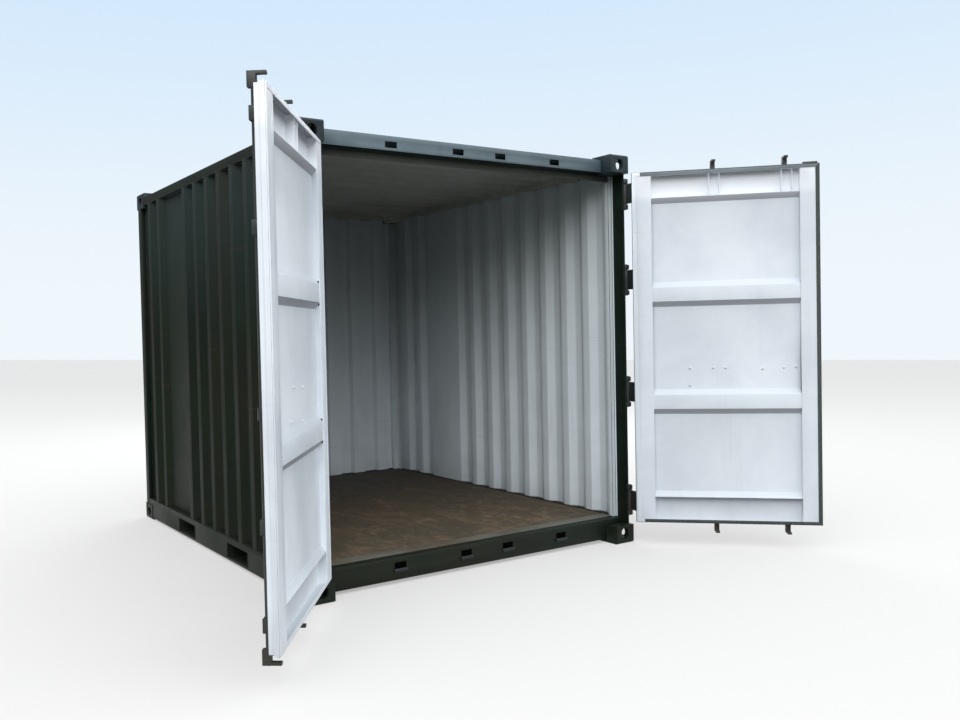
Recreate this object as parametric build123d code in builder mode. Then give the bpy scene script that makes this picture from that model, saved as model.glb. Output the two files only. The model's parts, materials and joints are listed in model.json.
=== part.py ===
from build123d import *
import os

os.makedirs("parts", exist_ok=True)

# Overall size of a ten foot container, millimetres
LENGTH = 2991.0
WIDTH = 2438.0
HEIGHT = 2591.0
HALF_L = LENGTH / 2
HALF_W = WIDTH / 2

# Clearance between pieces that are seated against each other
SEAT = 0.2

# Corner castings
CASTING_L = 178.0
CASTING_W = 162.0
CASTING_H = 118.0
CASTING_WALL = 28.0
CASTING_PLATE = 28.5
CASTING_INNER_WALL = 10.0
CASTING_BACK_PLATE = 12.0
CASTING_ROUND = 14.0
APERTURE_FROM_END = 102.0
APERTURE_FROM_SIDE = 89.5
APERTURE_L = 124.5
APERTURE_W = 63.5
END_HOLE_H = 76.0
SIDE_HOLE_L = 79.0
SIDE_HOLE_H = 62.0
POST_BOTTOM = CASTING_H
POST_TOP = HEIGHT - CASTING_H

# Frame planes: how far each face lies from the container centre
SIDE_FACE = HALF_W - 3
END_X = -(HALF_L - 7.5)
REAR_LEG_X = -(HALF_L - 100.5)
CASTING_INNER_X = HALF_L - CASTING_L
CASTING_INNER_Y = HALF_W - CASTING_W

# Side rails
RAIL_BOTTOM = 16.0
RAIL_TOP = 162.0
RAIL_SHEET = 4.5
RAIL_FLANGE = 48.0
TOP_RAIL = 60.0
TOP_RAIL_SHEET = 3.0
TOP_RAIL_TOP = HEIGHT - 38
TOP_RAIL_BOTTOM = TOP_RAIL_TOP - TOP_RAIL

# Sheet walls
SHEET = 2.0
WALL_DEPTH = 36.0
WALL_PITCH = 225.0
WALL_OUTER_FLAT = 60.0
WALL_SLOPE = 52.0
WALL_FIRST_FLAT = HALF_L - 280.5
WALL_REAR_FLATS = (REAR_LEG_X + 445, REAR_LEG_X + 220)
WIDE_PANEL = 590.0
WALL_FRONT_FLATS = 1 + round((WALL_FIRST_FLAT - WALL_REAR_FLATS[0] - WIDE_PANEL) // WALL_PITCH)
END_WALL_DEPTH = 45.0
END_WALL_FLAT = 104.0
END_WALL_SLOPE = 18.0
END_WALL_HALF = HALF_W - 104
END_WALL_RIBS = 9
END_WALL_EDGE = 115.0
END_WALL_PITCH = (END_WALL_HALF - END_WALL_EDGE) * 2 / (END_WALL_RIBS - 1)

# Door post, measured back from the door end face of the castings
POST_FRONT = 45.0
POST_SEAL_FACE = 154.0
POST_SHEET = 6.0
POST_PLATE = 12.0
POST_LIP_FACE = SIDE_FACE - 42
POST_LIP_BACK = 190.0

# Blind end post
END_POST_SHEET = 6.0
END_POST_CHAMFER = 20.0

# Header and sill
FRAME_FACE = 96.0
HEADER_BOTTOM = POST_TOP + 9
HEADER_TOP = POST_TOP + 93
HEADER_SHEET = 4.0
HEADER_BACK = 172.0
HEADER_FLANGE_DROP = 38.0
HEADER_SLANT = 20.0
HEADER_BACK_LEG = 40.0
SILL_BOTTOM = 24.0
SILL_TOP = 152.0
SILL_SHEET = 5.0
SLOT_W = 80.0
SLOT_H = 36.0
SLOT_CLEAR = 5.0

# Floor
FLOOR_TOP = 158.0
FLOOR_THICK = 28.0
THRESHOLD_DEPTH = 150.0
THRESHOLD_THICK = FLOOR_TOP - SILL_TOP
MEMBER_FLANGE = 45.0
MEMBER_SHEET = 4.0

# Fork pockets
POCKET_X = 480.0
POCKET_W = 340.0
POCKET_BOTTOM = 30.0
POCKET_TOP = 126.0
POCKET_SHEET = 4.0
POCKET_STRAP = 220.0
MEMBER_FRONT = HALF_L - 265.5
MEMBER_REAR = -(HALF_L - 235.5)
MEMBER_NEAR = POCKET_X + POCKET_W / 2 + 120
MEMBER_MIDDLE = POCKET_X - POCKET_W / 2 - 150
MEMBERS_X = (
    MEMBER_REAR,
    (MEMBER_REAR - MEMBER_NEAR) / 2,
    -MEMBER_NEAR,
    -MEMBER_MIDDLE,
    MEMBER_MIDDLE,
    MEMBER_NEAR,
    (MEMBER_FRONT + MEMBER_NEAR) / 2,
    MEMBER_FRONT,
)

# Roof
ROOF_TOP = TOP_RAIL_TOP - 3
ROOF_DEPTH = 20.0
ROOF_RIBS = 12
ROOF_EDGE = 226.0
ROOF_FLAT = 90.0
ROOF_SLOPE = 20.0

# Doors: u runs from the hinge pin to the free edge, n runs from the pin into the container
PIN_DEPTH = 20.0
PIN_Y = SIDE_FACE - 17
PIN_X = HALF_L - PIN_DEPTH
REST_ANGLE = {1: 136.2, -1: 127.7}
LEAF_FACE = FRAME_FACE - PIN_DEPTH
LEAF_THICK = 50.0
LEAF_BACK = LEAF_FACE + LEAF_THICK
LEAF_BOTTOM = 163.0
LEAF_TOP = POST_TOP - 26
LEAF_HINGE_EDGE = 49.0
LEAF_FREE_EDGE = PIN_Y - 20
STILE_W = 110.0
LEAF_SHEET = 3.0
CHANNEL_LIP = 20.0
TOP_CHANNEL_LOW = LEAF_TOP - 164
BOTTOM_CHANNEL_HIGH = LEAF_BOTTOM + 167
PANEL_LEVEL = 98.0
RIB_LEVEL = 122.0
RIB_SHARE = (0.319, 0.679)
RIB_FLAT = 92.0
RIB_SLOPE = 35.0
GUSSET_HALF = 32.0
GASKET_REACH = 13.0
GASKET_FREE_REACH = 8.0
GASKET_TOP_REACH = 8.0
GASKET_BOTTOM_REACH = 5.0
GASKET_BODY = (LEAF_BACK - 26, LEAF_BACK - 12)
GASKET_LIP = (LEAF_BACK - 12, LEAF_BACK - 4)
GASKET_STEP = 3.0
GASKET_STRIP = 18.0
GASKET_STRIP_THICK = 1.5

# Hinges
HINGE_SHARE = (0.053, 0.373, 0.701, 0.951)
HINGE_Z = [LEAF_BOTTOM + share * (LEAF_TOP - LEAF_BOTTOM) for share in HINGE_SHARE]
HINGE_H = 130.0
PIN_R = 9.0
KNUCKLE_R = 18.0
PIN_CLEARANCE = 0.5
BLADE_THICK = 10.0
BLADE_STRAP = 110.0
BLADE_ROOT = 4.0
BLADE_TOE = 8.0
PIN_STAND = 4.0
LUG_THICK = 30.0
LUG_GAP = 5.0
LUG_R = 19.0

# Locking gear
ROD_FROM_MIDDLE = {1: {"outer": 647.0, "inner": 207.0}, -1: {"outer": 582.0, "inner": 111.0}}
ROD_U = {s: {name: PIN_Y - y for name, y in rods.items()} for s, rods in ROD_FROM_MIDDLE.items()}
ROD_R = 13.0
ROD_N = LEAF_FACE - 22.0
CAM_RISE = 70.0
CAM_BODY = 38.0
CAM_INNER = 11.0
CAM_HALF = 14.0
CAM_FINGER = 54.0
CAM_FINGER_HALF = 12.0
CAM_FINGER_H = 14.0
CAM_HEEL = 34.0
CAM_HEEL_H = 9.0
CAM_START = 4.0
SLOT_Z_TOP = LEAF_TOP + CAM_RISE - CAM_FINGER_H - SLOT_CLEAR
SLOT_Z_BOTTOM = LEAF_BOTTOM - CAM_RISE - SLOT_CLEAR
GUIDE_RAIL_Z = (LEAF_BOTTOM + 95, LEAF_TOP - 100)
GUIDE_PANEL_Z = (LEAF_BOTTOM + 500, LEAF_TOP - 560)
GUIDE_H = 60.0
GUIDE_W = 110.0
GUIDE_SHEET = 6.0
GUIDE_HALF = 20.0
GUIDE_CLEARANCE = 0.5
HANDLE_Z = {"outer": 1345.0, "inner": 1128.0}
HANDLE_REACH = 400.0
HANDLE_H = 32.0
HANDLE_THICK = 12.0
HANDLE_N = ROD_N - 10
HUB_R = 21.0
HUB_H = 50.0
CATCH_BACK = 340.0
CATCH_W = 50.0
CATCH_GAP = 5.0
CATCH_N = HANDLE_N - 12
OVERLAP_W = 90.0
OVERLAP_RISE = 28.0
OVERLAP_DROP = 87.0
OVERLAP_THICK = 5.0
KEEPER_W = 92.0
KEEPER_H = 26.0
KEEPER_REACH = 12.0


def box_between(low, high, mode=Mode.ADD):
    """Add or cut a box given by two opposite corners in the current workplane."""
    size = [abs(b - a) for a, b in zip(low, high)]
    centre = [(a + b) / 2 for a, b in zip(low, high)]
    with Locations(tuple(centre)):
        Box(size[0], size[1], size[2], mode=mode)


def sheet_face(points, thickness, side=Side.RIGHT):
    """Cross-section of a bent sheet whose one face follows the points."""
    with BuildLine(mode=Mode.PRIVATE) as strip:
        Polyline(*points)
        offset(amount=thickness, side=side, kind=Kind.INTERSECTION)
    make_face(strip.edges())


def save(part, name):
    """Name the piece and write it to its own file."""
    part.label = name
    export_step(part, f"parts/{name}.step")
    print(name, round(part.volume / 1000), "cm3,", len(part.solids()), "solids")


# Corner castings: hollow blocks with a slot in the outer plate, an end hole and a side hole


def casting(sx, sy, z_base, z_sign):
    """One casting; z_sign points from the aperture plate into the cavity."""
    slot_x = sx * (HALF_L - APERTURE_FROM_END)
    slot_y = sy * (HALF_W - APERTURE_FROM_SIDE)
    end_z = z_base + z_sign * (CASTING_PLATE + END_HOLE_H / 2)
    side_z = z_base + z_sign * (CASTING_PLATE + SIDE_HOLE_H / 2)
    end_plane = Plane(origin=(sx * HALF_L, slot_y, end_z), x_dir=(0, 0, 1), z_dir=(sx, 0, 0))
    side_plane = Plane(origin=(slot_x, sy * HALF_W, side_z), x_dir=(1, 0, 0), z_dir=(0, sy, 0))
    tip = Vector(sx * HALF_L, sy * HALF_W, z_base)
    with BuildPart() as block:
        box_between(
            (sx * HALF_L, sy * HALF_W, z_base),
            (sx * CASTING_INNER_X, sy * CASTING_INNER_Y, z_base + z_sign * CASTING_H),
        )
        fillet(block.edges().sort_by(lambda edge: edge.distance_to(tip))[:3], radius=CASTING_ROUND)
        box_between(
            (sx * (HALF_L - CASTING_WALL), sy * (HALF_W - CASTING_WALL), z_base + z_sign * CASTING_PLATE),
            (
                sx * (CASTING_INNER_X + CASTING_INNER_WALL),
                sy * (CASTING_INNER_Y + CASTING_INNER_WALL),
                z_base + z_sign * (CASTING_H - CASTING_BACK_PLATE),
            ),
            mode=Mode.SUBTRACT,
        )
        with BuildSketch(Plane.XY.offset(z_base)):
            with Locations((slot_x, slot_y)):
                SlotOverall(APERTURE_L, APERTURE_W)
        extrude(amount=z_sign * (CASTING_PLATE + 1), mode=Mode.SUBTRACT)
        with BuildSketch(end_plane):
            SlotOverall(END_HOLE_H, APERTURE_W)
        extrude(amount=-(CASTING_WALL + 1), mode=Mode.SUBTRACT)
        with BuildSketch(side_plane):
            SlotOverall(SIDE_HOLE_L, SIDE_HOLE_H)
        extrude(amount=-(CASTING_WALL + 1), mode=Mode.SUBTRACT)
    return block.part


def castings(z_base, z_sign):
    """The four castings of one level as one piece."""
    return Part() + [casting(sx, sy, z_base, z_sign) for sx in (1, -1) for sy in (1, -1)]


save(castings(0.0, 1), "bottom_corner_castings")
save(castings(HEIGHT, -1), "top_corner_castings")


# Side frames and walls


def cut_castings(margin=SEAT):
    """Clear the room of all eight castings out of the current part."""
    for sx in (1, -1):
        for sy in (1, -1):
            for z_low, z_high in ((-10.0, CASTING_H + margin), (POST_TOP - margin, HEIGHT + 10.0)):
                box_between(
                    (sx * (CASTING_INNER_X - margin), sy * (CASTING_INNER_Y - margin), z_low),
                    (sx * (HALF_L + 20), sy * (HALF_W + 20), z_high),
                    mode=Mode.SUBTRACT,
                )


def bottom_side_rail(side):
    """Channel rail with the two fork pocket cut-outs."""
    with BuildPart() as rail:
        outline = [
            (side * (SIDE_FACE - RAIL_FLANGE), RAIL_BOTTOM),
            (side * SIDE_FACE, RAIL_BOTTOM),
            (side * SIDE_FACE, RAIL_TOP),
            (side * (SIDE_FACE - RAIL_FLANGE), RAIL_TOP),
        ]
        start = Plane(origin=(REAR_LEG_X, 0, 0), x_dir=(0, 1, 0), z_dir=(1, 0, 0))
        with BuildSketch(start):
            sheet_face(outline, RAIL_SHEET, side=Side.LEFT if side > 0 else Side.RIGHT)
        extrude(amount=HALF_L - POST_SEAL_FACE - POST_SHEET - REAR_LEG_X)
        cut_castings()
        box_between(
            (HALF_L - POST_LIP_BACK, side * (SIDE_FACE - RAIL_FLANGE), CASTING_H),
            (HALF_L, side * (POST_LIP_FACE + POST_SHEET), RAIL_TOP),
            mode=Mode.SUBTRACT,
        )
        for x in (-POCKET_X, POCKET_X):
            box_between(
                (x - POCKET_W / 2, side * (SIDE_FACE - RAIL_FLANGE - 1), POCKET_BOTTOM),
                (x + POCKET_W / 2, side * (SIDE_FACE + 1), POCKET_TOP),
                mode=Mode.SUBTRACT,
            )
    return rail.part


def top_side_rail(side):
    """Square tube between the top castings."""
    with BuildPart() as rail:
        box_between(
            (-CASTING_INNER_X, side * SIDE_FACE, TOP_RAIL_BOTTOM),
            (CASTING_INNER_X, side * (SIDE_FACE - TOP_RAIL), TOP_RAIL_TOP),
        )
        box_between(
            (-CASTING_INNER_X, side * (SIDE_FACE - TOP_RAIL_SHEET), TOP_RAIL_BOTTOM + TOP_RAIL_SHEET),
            (CASTING_INNER_X, side * (SIDE_FACE - TOP_RAIL + TOP_RAIL_SHEET), TOP_RAIL_TOP - TOP_RAIL_SHEET),
            mode=Mode.SUBTRACT,
        )
    return rail.part


def side_wall(side):
    """Corrugated sheet wall with one wide plain panel."""
    outer = side * SIDE_FACE
    inner = side * (SIDE_FACE - WALL_DEPTH + SHEET)
    half = WALL_OUTER_FLAT / 2
    front = HALF_L - POST_SEAL_FACE - POST_SHEET
    points = [(front, inner)]
    flats = [WALL_FIRST_FLAT - WALL_PITCH * k for k in range(WALL_FRONT_FLATS)] + list(WALL_REAR_FLATS)
    for x in flats:
        points.append((x + half + WALL_SLOPE, inner))
        points.append((x + half, outer))
        points.append((x - half, outer))
        points.append((x - half - WALL_SLOPE, inner))
    points.append((REAR_LEG_X, inner))
    with BuildPart() as wall:
        with BuildSketch(Plane.XY.offset(RAIL_TOP)):
            sheet_face(points, SHEET, side=Side.LEFT if side > 0 else Side.RIGHT)
        extrude(amount=TOP_RAIL_BOTTOM - RAIL_TOP)
        cut_castings()
    return wall.part


def door_post(side):
    """Door post: a thick outer plate, a seal web and a lip that carries the side wall."""
    front = HALF_L - POST_FRONT
    seal = HALF_L - POST_SEAL_FACE
    back = seal - POST_SHEET
    lip = side * POST_LIP_FACE
    lip_outer = side * (POST_LIP_FACE + POST_SHEET)
    with BuildPart() as post:
        with BuildSketch(Plane.XY.offset(POST_BOTTOM)):
            with BuildLine():
                Polyline(
                    (front, side * SIDE_FACE),
                    (back, side * SIDE_FACE),
                    (back, lip_outer),
                    (HALF_L - POST_LIP_BACK, lip_outer),
                    (HALF_L - POST_LIP_BACK, lip),
                    (seal, lip),
                    (seal, side * (SIDE_FACE - POST_PLATE)),
                    (front, side * (SIDE_FACE - POST_PLATE)),
                    close=True,
                )
            make_face()
        extrude(amount=POST_TOP - POST_BOTTOM)
    return post.part


def end_post(side):
    """Pressed open post at the blind end."""
    y_out = side * SIDE_FACE
    points = [
        (REAR_LEG_X, side * (SIDE_FACE - WALL_DEPTH)),
        (REAR_LEG_X, y_out),
        (END_X + END_POST_CHAMFER, y_out),
        (END_X, side * (SIDE_FACE - END_POST_CHAMFER)),
        (END_X, side * END_WALL_HALF),
        (END_X + END_WALL_DEPTH, side * END_WALL_HALF),
    ]
    with BuildPart() as post:
        with BuildSketch(Plane.XY.offset(POST_BOTTOM)):
            sheet_face(points, END_POST_SHEET, side=Side.LEFT if side > 0 else Side.RIGHT)
        extrude(amount=POST_TOP - POST_BOTTOM)
    return post.part


for side, word in ((1, "right"), (-1, "left")):
    save(bottom_side_rail(side), f"{word}_bottom_rail")
    save(top_side_rail(side), f"{word}_top_rail")
    save(side_wall(side), f"{word}_side_wall")
    save(door_post(side), f"{word}_door_post")
    save(end_post(side), f"{word}_end_post")

# Blind end: top tube, bottom channel and corrugated sheet
with BuildPart() as end_top_rail:
    box_between(
        (END_X, -CASTING_INNER_Y, TOP_RAIL_BOTTOM),
        (END_X + TOP_RAIL, CASTING_INNER_Y, TOP_RAIL_TOP),
    )
    box_between(
        (END_X + TOP_RAIL_SHEET, -CASTING_INNER_Y, TOP_RAIL_BOTTOM + TOP_RAIL_SHEET),
        (END_X + TOP_RAIL - TOP_RAIL_SHEET, CASTING_INNER_Y, TOP_RAIL_TOP - TOP_RAIL_SHEET),
        mode=Mode.SUBTRACT,
    )
save(end_top_rail.part, "end_top_rail")

with BuildPart() as end_bottom_rail:
    with BuildSketch(Plane.XZ.offset(-END_WALL_HALF)):
        sheet_face(
            [
                (END_X + RAIL_FLANGE, RAIL_BOTTOM),
                (END_X, RAIL_BOTTOM),
                (END_X, RAIL_TOP),
                (END_X + RAIL_FLANGE, RAIL_TOP),
            ],
            RAIL_SHEET,
            side=Side.RIGHT,
        )
    extrude(amount=2 * END_WALL_HALF)
    cut_castings()
save(end_bottom_rail.part, "end_bottom_rail")


def end_wall_points():
    """One face of the end wall from one post to the other."""
    outer = END_X
    inner = END_X + END_WALL_DEPTH - SHEET
    half = END_WALL_FLAT / 2
    points = [(outer, -END_WALL_HALF)]
    for k in range(END_WALL_RIBS):
        y = (k - (END_WALL_RIBS - 1) / 2) * END_WALL_PITCH
        points.append((outer, y - half - END_WALL_SLOPE))
        points.append((inner, y - half))
        points.append((inner, y + half))
        points.append((outer, y + half + END_WALL_SLOPE))
    points.append((outer, END_WALL_HALF))
    return points


with BuildPart() as end_wall:
    with BuildSketch(Plane.XY.offset(RAIL_TOP)):
        sheet_face(end_wall_points(), SHEET, side=Side.RIGHT)
    extrude(amount=TOP_RAIL_BOTTOM - RAIL_TOP)
    cut_castings()
save(end_wall.part, "end_wall")

# Roof sheet with shallow ribs across the container
ROOF_HALF_Y = SIDE_FACE - TOP_RAIL
ROOF_FRONT = HALF_L - HEADER_BACK
ROOF_BACK = END_X + TOP_RAIL
ROOF_PITCH = (ROOF_FRONT - ROOF_BACK - 2 * ROOF_EDGE) / (ROOF_RIBS - 1)
roof_points = [(ROOF_BACK, ROOF_TOP - ROOF_DEPTH)]
roof_middle = (ROOF_FRONT + ROOF_BACK) / 2
for k in range(ROOF_RIBS):
    x = roof_middle + (k - (ROOF_RIBS - 1) / 2) * ROOF_PITCH
    roof_points.append((x - ROOF_FLAT / 2 - ROOF_SLOPE, ROOF_TOP - ROOF_DEPTH))
    roof_points.append((x - ROOF_FLAT / 2, ROOF_TOP))
    roof_points.append((x + ROOF_FLAT / 2, ROOF_TOP))
    roof_points.append((x + ROOF_FLAT / 2 + ROOF_SLOPE, ROOF_TOP - ROOF_DEPTH))
roof_points.append((ROOF_FRONT, ROOF_TOP - ROOF_DEPTH))
with BuildPart() as roof:
    with BuildSketch(Plane.XZ.offset(-ROOF_HALF_Y)):
        sheet_face(roof_points, SHEET, side=Side.RIGHT)
    extrude(amount=2 * ROOF_HALF_Y)
    cut_castings()
save(roof.part, "roof_sheet")

# Door frame: header above and sill below, with pockets where the locking cams enter
FACE_X = HALF_L - FRAME_FACE
SLOTS_Y = [s * y for s, rods in ROD_FROM_MIDDLE.items() for y in rods.values()]


def frame_slots(z_low, depth):
    """Cut the pockets for the cams through the front plate."""
    for y in SLOTS_Y:
        box_between(
            (FACE_X - depth, y - SLOT_W / 2, z_low),
            (FACE_X + 1, y + SLOT_W / 2, z_low + SLOT_H),
            mode=Mode.SUBTRACT,
        )


header_points = [
    (HALF_L - POST_SEAL_FACE, POST_TOP - HEADER_FLANGE_DROP),
    (HALF_L - POST_SEAL_FACE, HEADER_BOTTOM),
    (FACE_X, HEADER_BOTTOM),
    (FACE_X, HEADER_TOP),
    (HALF_L - HEADER_BACK + HEADER_SLANT, ROOF_TOP - SHEET),
    (HALF_L - HEADER_BACK, ROOF_TOP - ROOF_DEPTH),
    (HALF_L - HEADER_BACK, ROOF_TOP - ROOF_DEPTH - HEADER_BACK_LEG),
]
with BuildPart() as header:
    with BuildSketch(Plane.XZ.offset(-CASTING_INNER_Y)):
        sheet_face(header_points, HEADER_SHEET, side=Side.RIGHT)
    extrude(amount=2 * CASTING_INNER_Y)
    with BuildSketch(Plane.XZ.offset(-POST_LIP_FACE)):
        with Locations((HALF_L - POST_SEAL_FACE - HEADER_SHEET / 2, POST_TOP - HEADER_FLANGE_DROP / 2)):
            Rectangle(HEADER_SHEET, HEADER_FLANGE_DROP)
    extrude(amount=2 * POST_LIP_FACE)
    frame_slots(SLOT_Z_TOP, HEADER_SHEET + 1)
save(header.part, "header")

sill_points = [
    (HALF_L - POST_LIP_BACK, SILL_BOTTOM),
    (FACE_X, SILL_BOTTOM),
    (FACE_X, SILL_TOP),
    (HALF_L - POST_LIP_BACK, SILL_TOP),
]
seal_x = HALF_L - POST_SEAL_FACE
with BuildPart() as sill:
    with BuildSketch(Plane.XZ.offset(-POST_LIP_FACE)):
        sheet_face(sill_points, SILL_SHEET, side=Side.LEFT)
    extrude(amount=2 * POST_LIP_FACE)
    for side in (1, -1):
        box_between(
            (FACE_X, side * POST_LIP_FACE, CASTING_H),
            (FACE_X - SILL_SHEET, side * (SIDE_FACE - POST_PLATE), SILL_TOP),
        )
        box_between(
            (FACE_X, side * POST_LIP_FACE, SILL_TOP - SILL_SHEET),
            (seal_x, side * (SIDE_FACE - POST_PLATE), SILL_TOP),
        )
    cut_castings(margin=0.0)
    frame_slots(SLOT_Z_BOTTOM, SILL_SHEET + 1)
save(sill.part, "sill")

with BuildPart() as sill_keepers:
    for y in SLOTS_Y:
        keeper_plane = Plane(origin=(0, y - KEEPER_W / 2, 0), x_dir=(1, 0, 0), z_dir=(0, -1, 0))
        with BuildSketch(keeper_plane):
            with BuildLine():
                Polyline(
                    (FACE_X, SLOT_Z_BOTTOM),
                    (FACE_X + KEEPER_REACH, SLOT_Z_BOTTOM),
                    (FACE_X + KEEPER_REACH, SLOT_Z_BOTTOM - KEEPER_H / 2),
                    (FACE_X, SLOT_Z_BOTTOM - KEEPER_H),
                    close=True,
                )
            make_face()
        extrude(amount=-KEEPER_W)
save(sill_keepers.part, "sill_keepers")

# Floor: plywood on steel cross members, with a steel plate behind the sill
FLOOR_EDGE = SIDE_FACE - RAIL_FLANGE
FLOOR_FRONT = FACE_X - THRESHOLD_DEPTH
FLOOR_BACK = END_X + RAIL_FLANGE
FLOOR_UNDER = FLOOR_TOP - FLOOR_THICK
MEMBER_BOTTOM = RAIL_BOTTOM + RAIL_SHEET
MEMBER_END = SIDE_FACE - RAIL_SHEET
with BuildPart() as floor:
    box_between((FLOOR_BACK, -FLOOR_EDGE, FLOOR_UNDER), (FLOOR_FRONT, FLOOR_EDGE, FLOOR_TOP))
save(floor.part, "plywood_floor")

with BuildPart() as threshold:
    with BuildSketch(Plane.XZ.offset(-FLOOR_EDGE)):
        sheet_face(
            [(seal_x - POST_SHEET, FLOOR_TOP), (FLOOR_FRONT, FLOOR_TOP), (FLOOR_FRONT, FLOOR_UNDER)],
            THRESHOLD_THICK,
            side=Side.LEFT,
        )
    extrude(amount=2 * FLOOR_EDGE)
save(threshold.part, "threshold_plate")

with BuildPart() as cross_members:
    for x in MEMBERS_X:
        half = MEMBER_FLANGE / 2
        with BuildSketch(Plane.XZ.offset(-MEMBER_END)):
            sheet_face(
                [
                    (x + half, MEMBER_BOTTOM),
                    (x - half, MEMBER_BOTTOM),
                    (x - half, FLOOR_UNDER),
                    (x + half, FLOOR_UNDER),
                ],
                MEMBER_SHEET,
                side=Side.RIGHT,
            )
        extrude(amount=2 * MEMBER_END)
save(cross_members.part, "cross_members")

with BuildPart() as fork_pockets:
    for x in (-POCKET_X, POCKET_X):
        wall = POCKET_W / 2 + POCKET_SHEET
        box_between((x - wall, -MEMBER_END, MEMBER_BOTTOM), (x + wall, MEMBER_END, FLOOR_UNDER))
        box_between(
            (x - POCKET_W / 2, -MEMBER_END, MEMBER_BOTTOM),
            (x + POCKET_W / 2, MEMBER_END, POCKET_TOP),
            mode=Mode.SUBTRACT,
        )
        for side in (1, -1):
            box_between(
                (x - POCKET_W / 2, side * MEMBER_END, POCKET_BOTTOM - POCKET_SHEET),
                (x + POCKET_W / 2, side * (MEMBER_END - POCKET_STRAP), POCKET_BOTTOM),
            )
save(fork_pockets.part, "fork_pockets")


# Doors: everything is drawn in the door's own directions, then stands at its rest angle


def door_plane(side, height=0.0):
    """Level plane at the hinge pin; x runs along the leaf, y is -side * n."""
    angle = -90 + REST_ANGLE[1] if side > 0 else 90 - REST_ANGLE[-1]
    along = Vector(1, 0, 0).rotate(Axis.Z, angle)
    return Plane(origin=(PIN_X, side * PIN_Y, height), x_dir=along, z_dir=(0, 0, 1))


def profile_plane(side, u):
    """Upright plane across the leaf at distance u; x runs up, y is side * n."""
    level = door_plane(side)
    return Plane(origin=level.from_local_coords((u, 0, 0)), x_dir=(0, 0, 1), z_dir=level.x_dir)


def leaf_box(side, low, high, mode=Mode.ADD):
    """Box between two corners given as (u, n, z) inside a part that uses the door plane."""
    box_between((low[0], -side * low[1], low[2]), (high[0], -side * high[1], high[2]), mode=mode)


def hollow_leaf_box(side, low, high):
    """Closed box section along the leaf with the leaf's sheet thickness."""
    leaf_box(side, low, high)
    inner_low = [a + LEAF_SHEET for a in low]
    inner_high = [a - LEAF_SHEET for a in high]
    leaf_box(side, inner_low, inner_high, mode=Mode.SUBTRACT)


PANEL_START = LEAF_HINGE_EDGE + STILE_W
PANEL_END = LEAF_FREE_EDGE - STILE_W


def door_frame(side):
    """Box stiles, top and bottom channels open to the inside, and their gussets."""
    web = LEAF_FACE + LEAF_SHEET
    lip = LEAF_BACK - LEAF_SHEET
    with BuildPart(door_plane(side)) as frame:
        hollow_leaf_box(side, (LEAF_HINGE_EDGE, LEAF_FACE, LEAF_BOTTOM), (PANEL_START, LEAF_BACK, LEAF_TOP))
        hollow_leaf_box(side, (PANEL_END, LEAF_FACE, LEAF_BOTTOM), (LEAF_FREE_EDGE, LEAF_BACK, LEAF_TOP))
        for edge, inner, turn in ((LEAF_TOP, TOP_CHANNEL_LOW, -1), (LEAF_BOTTOM, BOTTOM_CHANNEL_HIGH, 1)):
            leaf_box(side, (PANEL_START, LEAF_FACE, edge), (PANEL_END, web, inner))
            leaf_box(side, (PANEL_START, web, edge), (PANEL_END, LEAF_BACK, edge + turn * LEAF_SHEET))
            leaf_box(side, (PANEL_START, lip, edge), (PANEL_END, LEAF_BACK, edge + turn * CHANNEL_LIP))
            leaf_box(side, (PANEL_START, web, inner), (PANEL_END, RIB_LEVEL, inner - turn * LEAF_SHEET))
        gussets = [u + turn * GUSSET_HALF for u in ROD_U[side].values() for turn in (-1, 1)]
        for u in gussets:
            if u < PANEL_END - LEAF_SHEET:
                with BuildSketch(profile_plane(side, u - LEAF_SHEET / 2)):
                    with BuildLine():
                        Polyline(
                            (LEAF_TOP - LEAF_SHEET, side * web),
                            (LEAF_TOP - LEAF_SHEET, side * lip),
                            (TOP_CHANNEL_LOW + LEAF_SHEET, side * RIB_LEVEL),
                            (TOP_CHANNEL_LOW + LEAF_SHEET, side * web),
                            close=True,
                        )
                    make_face()
                extrude(amount=LEAF_SHEET)
    return frame.part


def door_panel(side):
    """Door sheet with two ribs pressed towards the inside and edges that slope to the channels."""
    rise = RIB_LEVEL - PANEL_LEVEL
    points = [
        (BOTTOM_CHANNEL_HIGH - RIB_SLOPE / 2, RIB_LEVEL + rise / 2),
        (BOTTOM_CHANNEL_HIGH + RIB_SLOPE, PANEL_LEVEL),
    ]
    for share in RIB_SHARE:
        z = BOTTOM_CHANNEL_HIGH + share * (TOP_CHANNEL_LOW - BOTTOM_CHANNEL_HIGH)
        points.append((z - RIB_FLAT / 2 - RIB_SLOPE, PANEL_LEVEL))
        points.append((z - RIB_FLAT / 2, RIB_LEVEL))
        points.append((z + RIB_FLAT / 2, RIB_LEVEL))
        points.append((z + RIB_FLAT / 2 + RIB_SLOPE, PANEL_LEVEL))
    points.append((TOP_CHANNEL_LOW - RIB_SLOPE, PANEL_LEVEL))
    points.append((TOP_CHANNEL_LOW + RIB_SLOPE / 2, RIB_LEVEL + rise / 2))
    with BuildPart(door_plane(side)) as panel:
        with BuildSketch(profile_plane(side, PANEL_START)):
            flat = [(z, side * n) for z, n in points]
            sheet_face(flat, SHEET, side=Side.RIGHT if side > 0 else Side.LEFT)
        extrude(amount=PANEL_END - PANEL_START)
        for z_low, z_high in ((LEAF_BOTTOM, BOTTOM_CHANNEL_HIGH), (TOP_CHANNEL_LOW, LEAF_TOP)):
            leaf_box(side, (PANEL_START, 0, z_low), (PANEL_END, 2 * LEAF_BACK, z_high), mode=Mode.SUBTRACT)
    return panel.part


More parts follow.
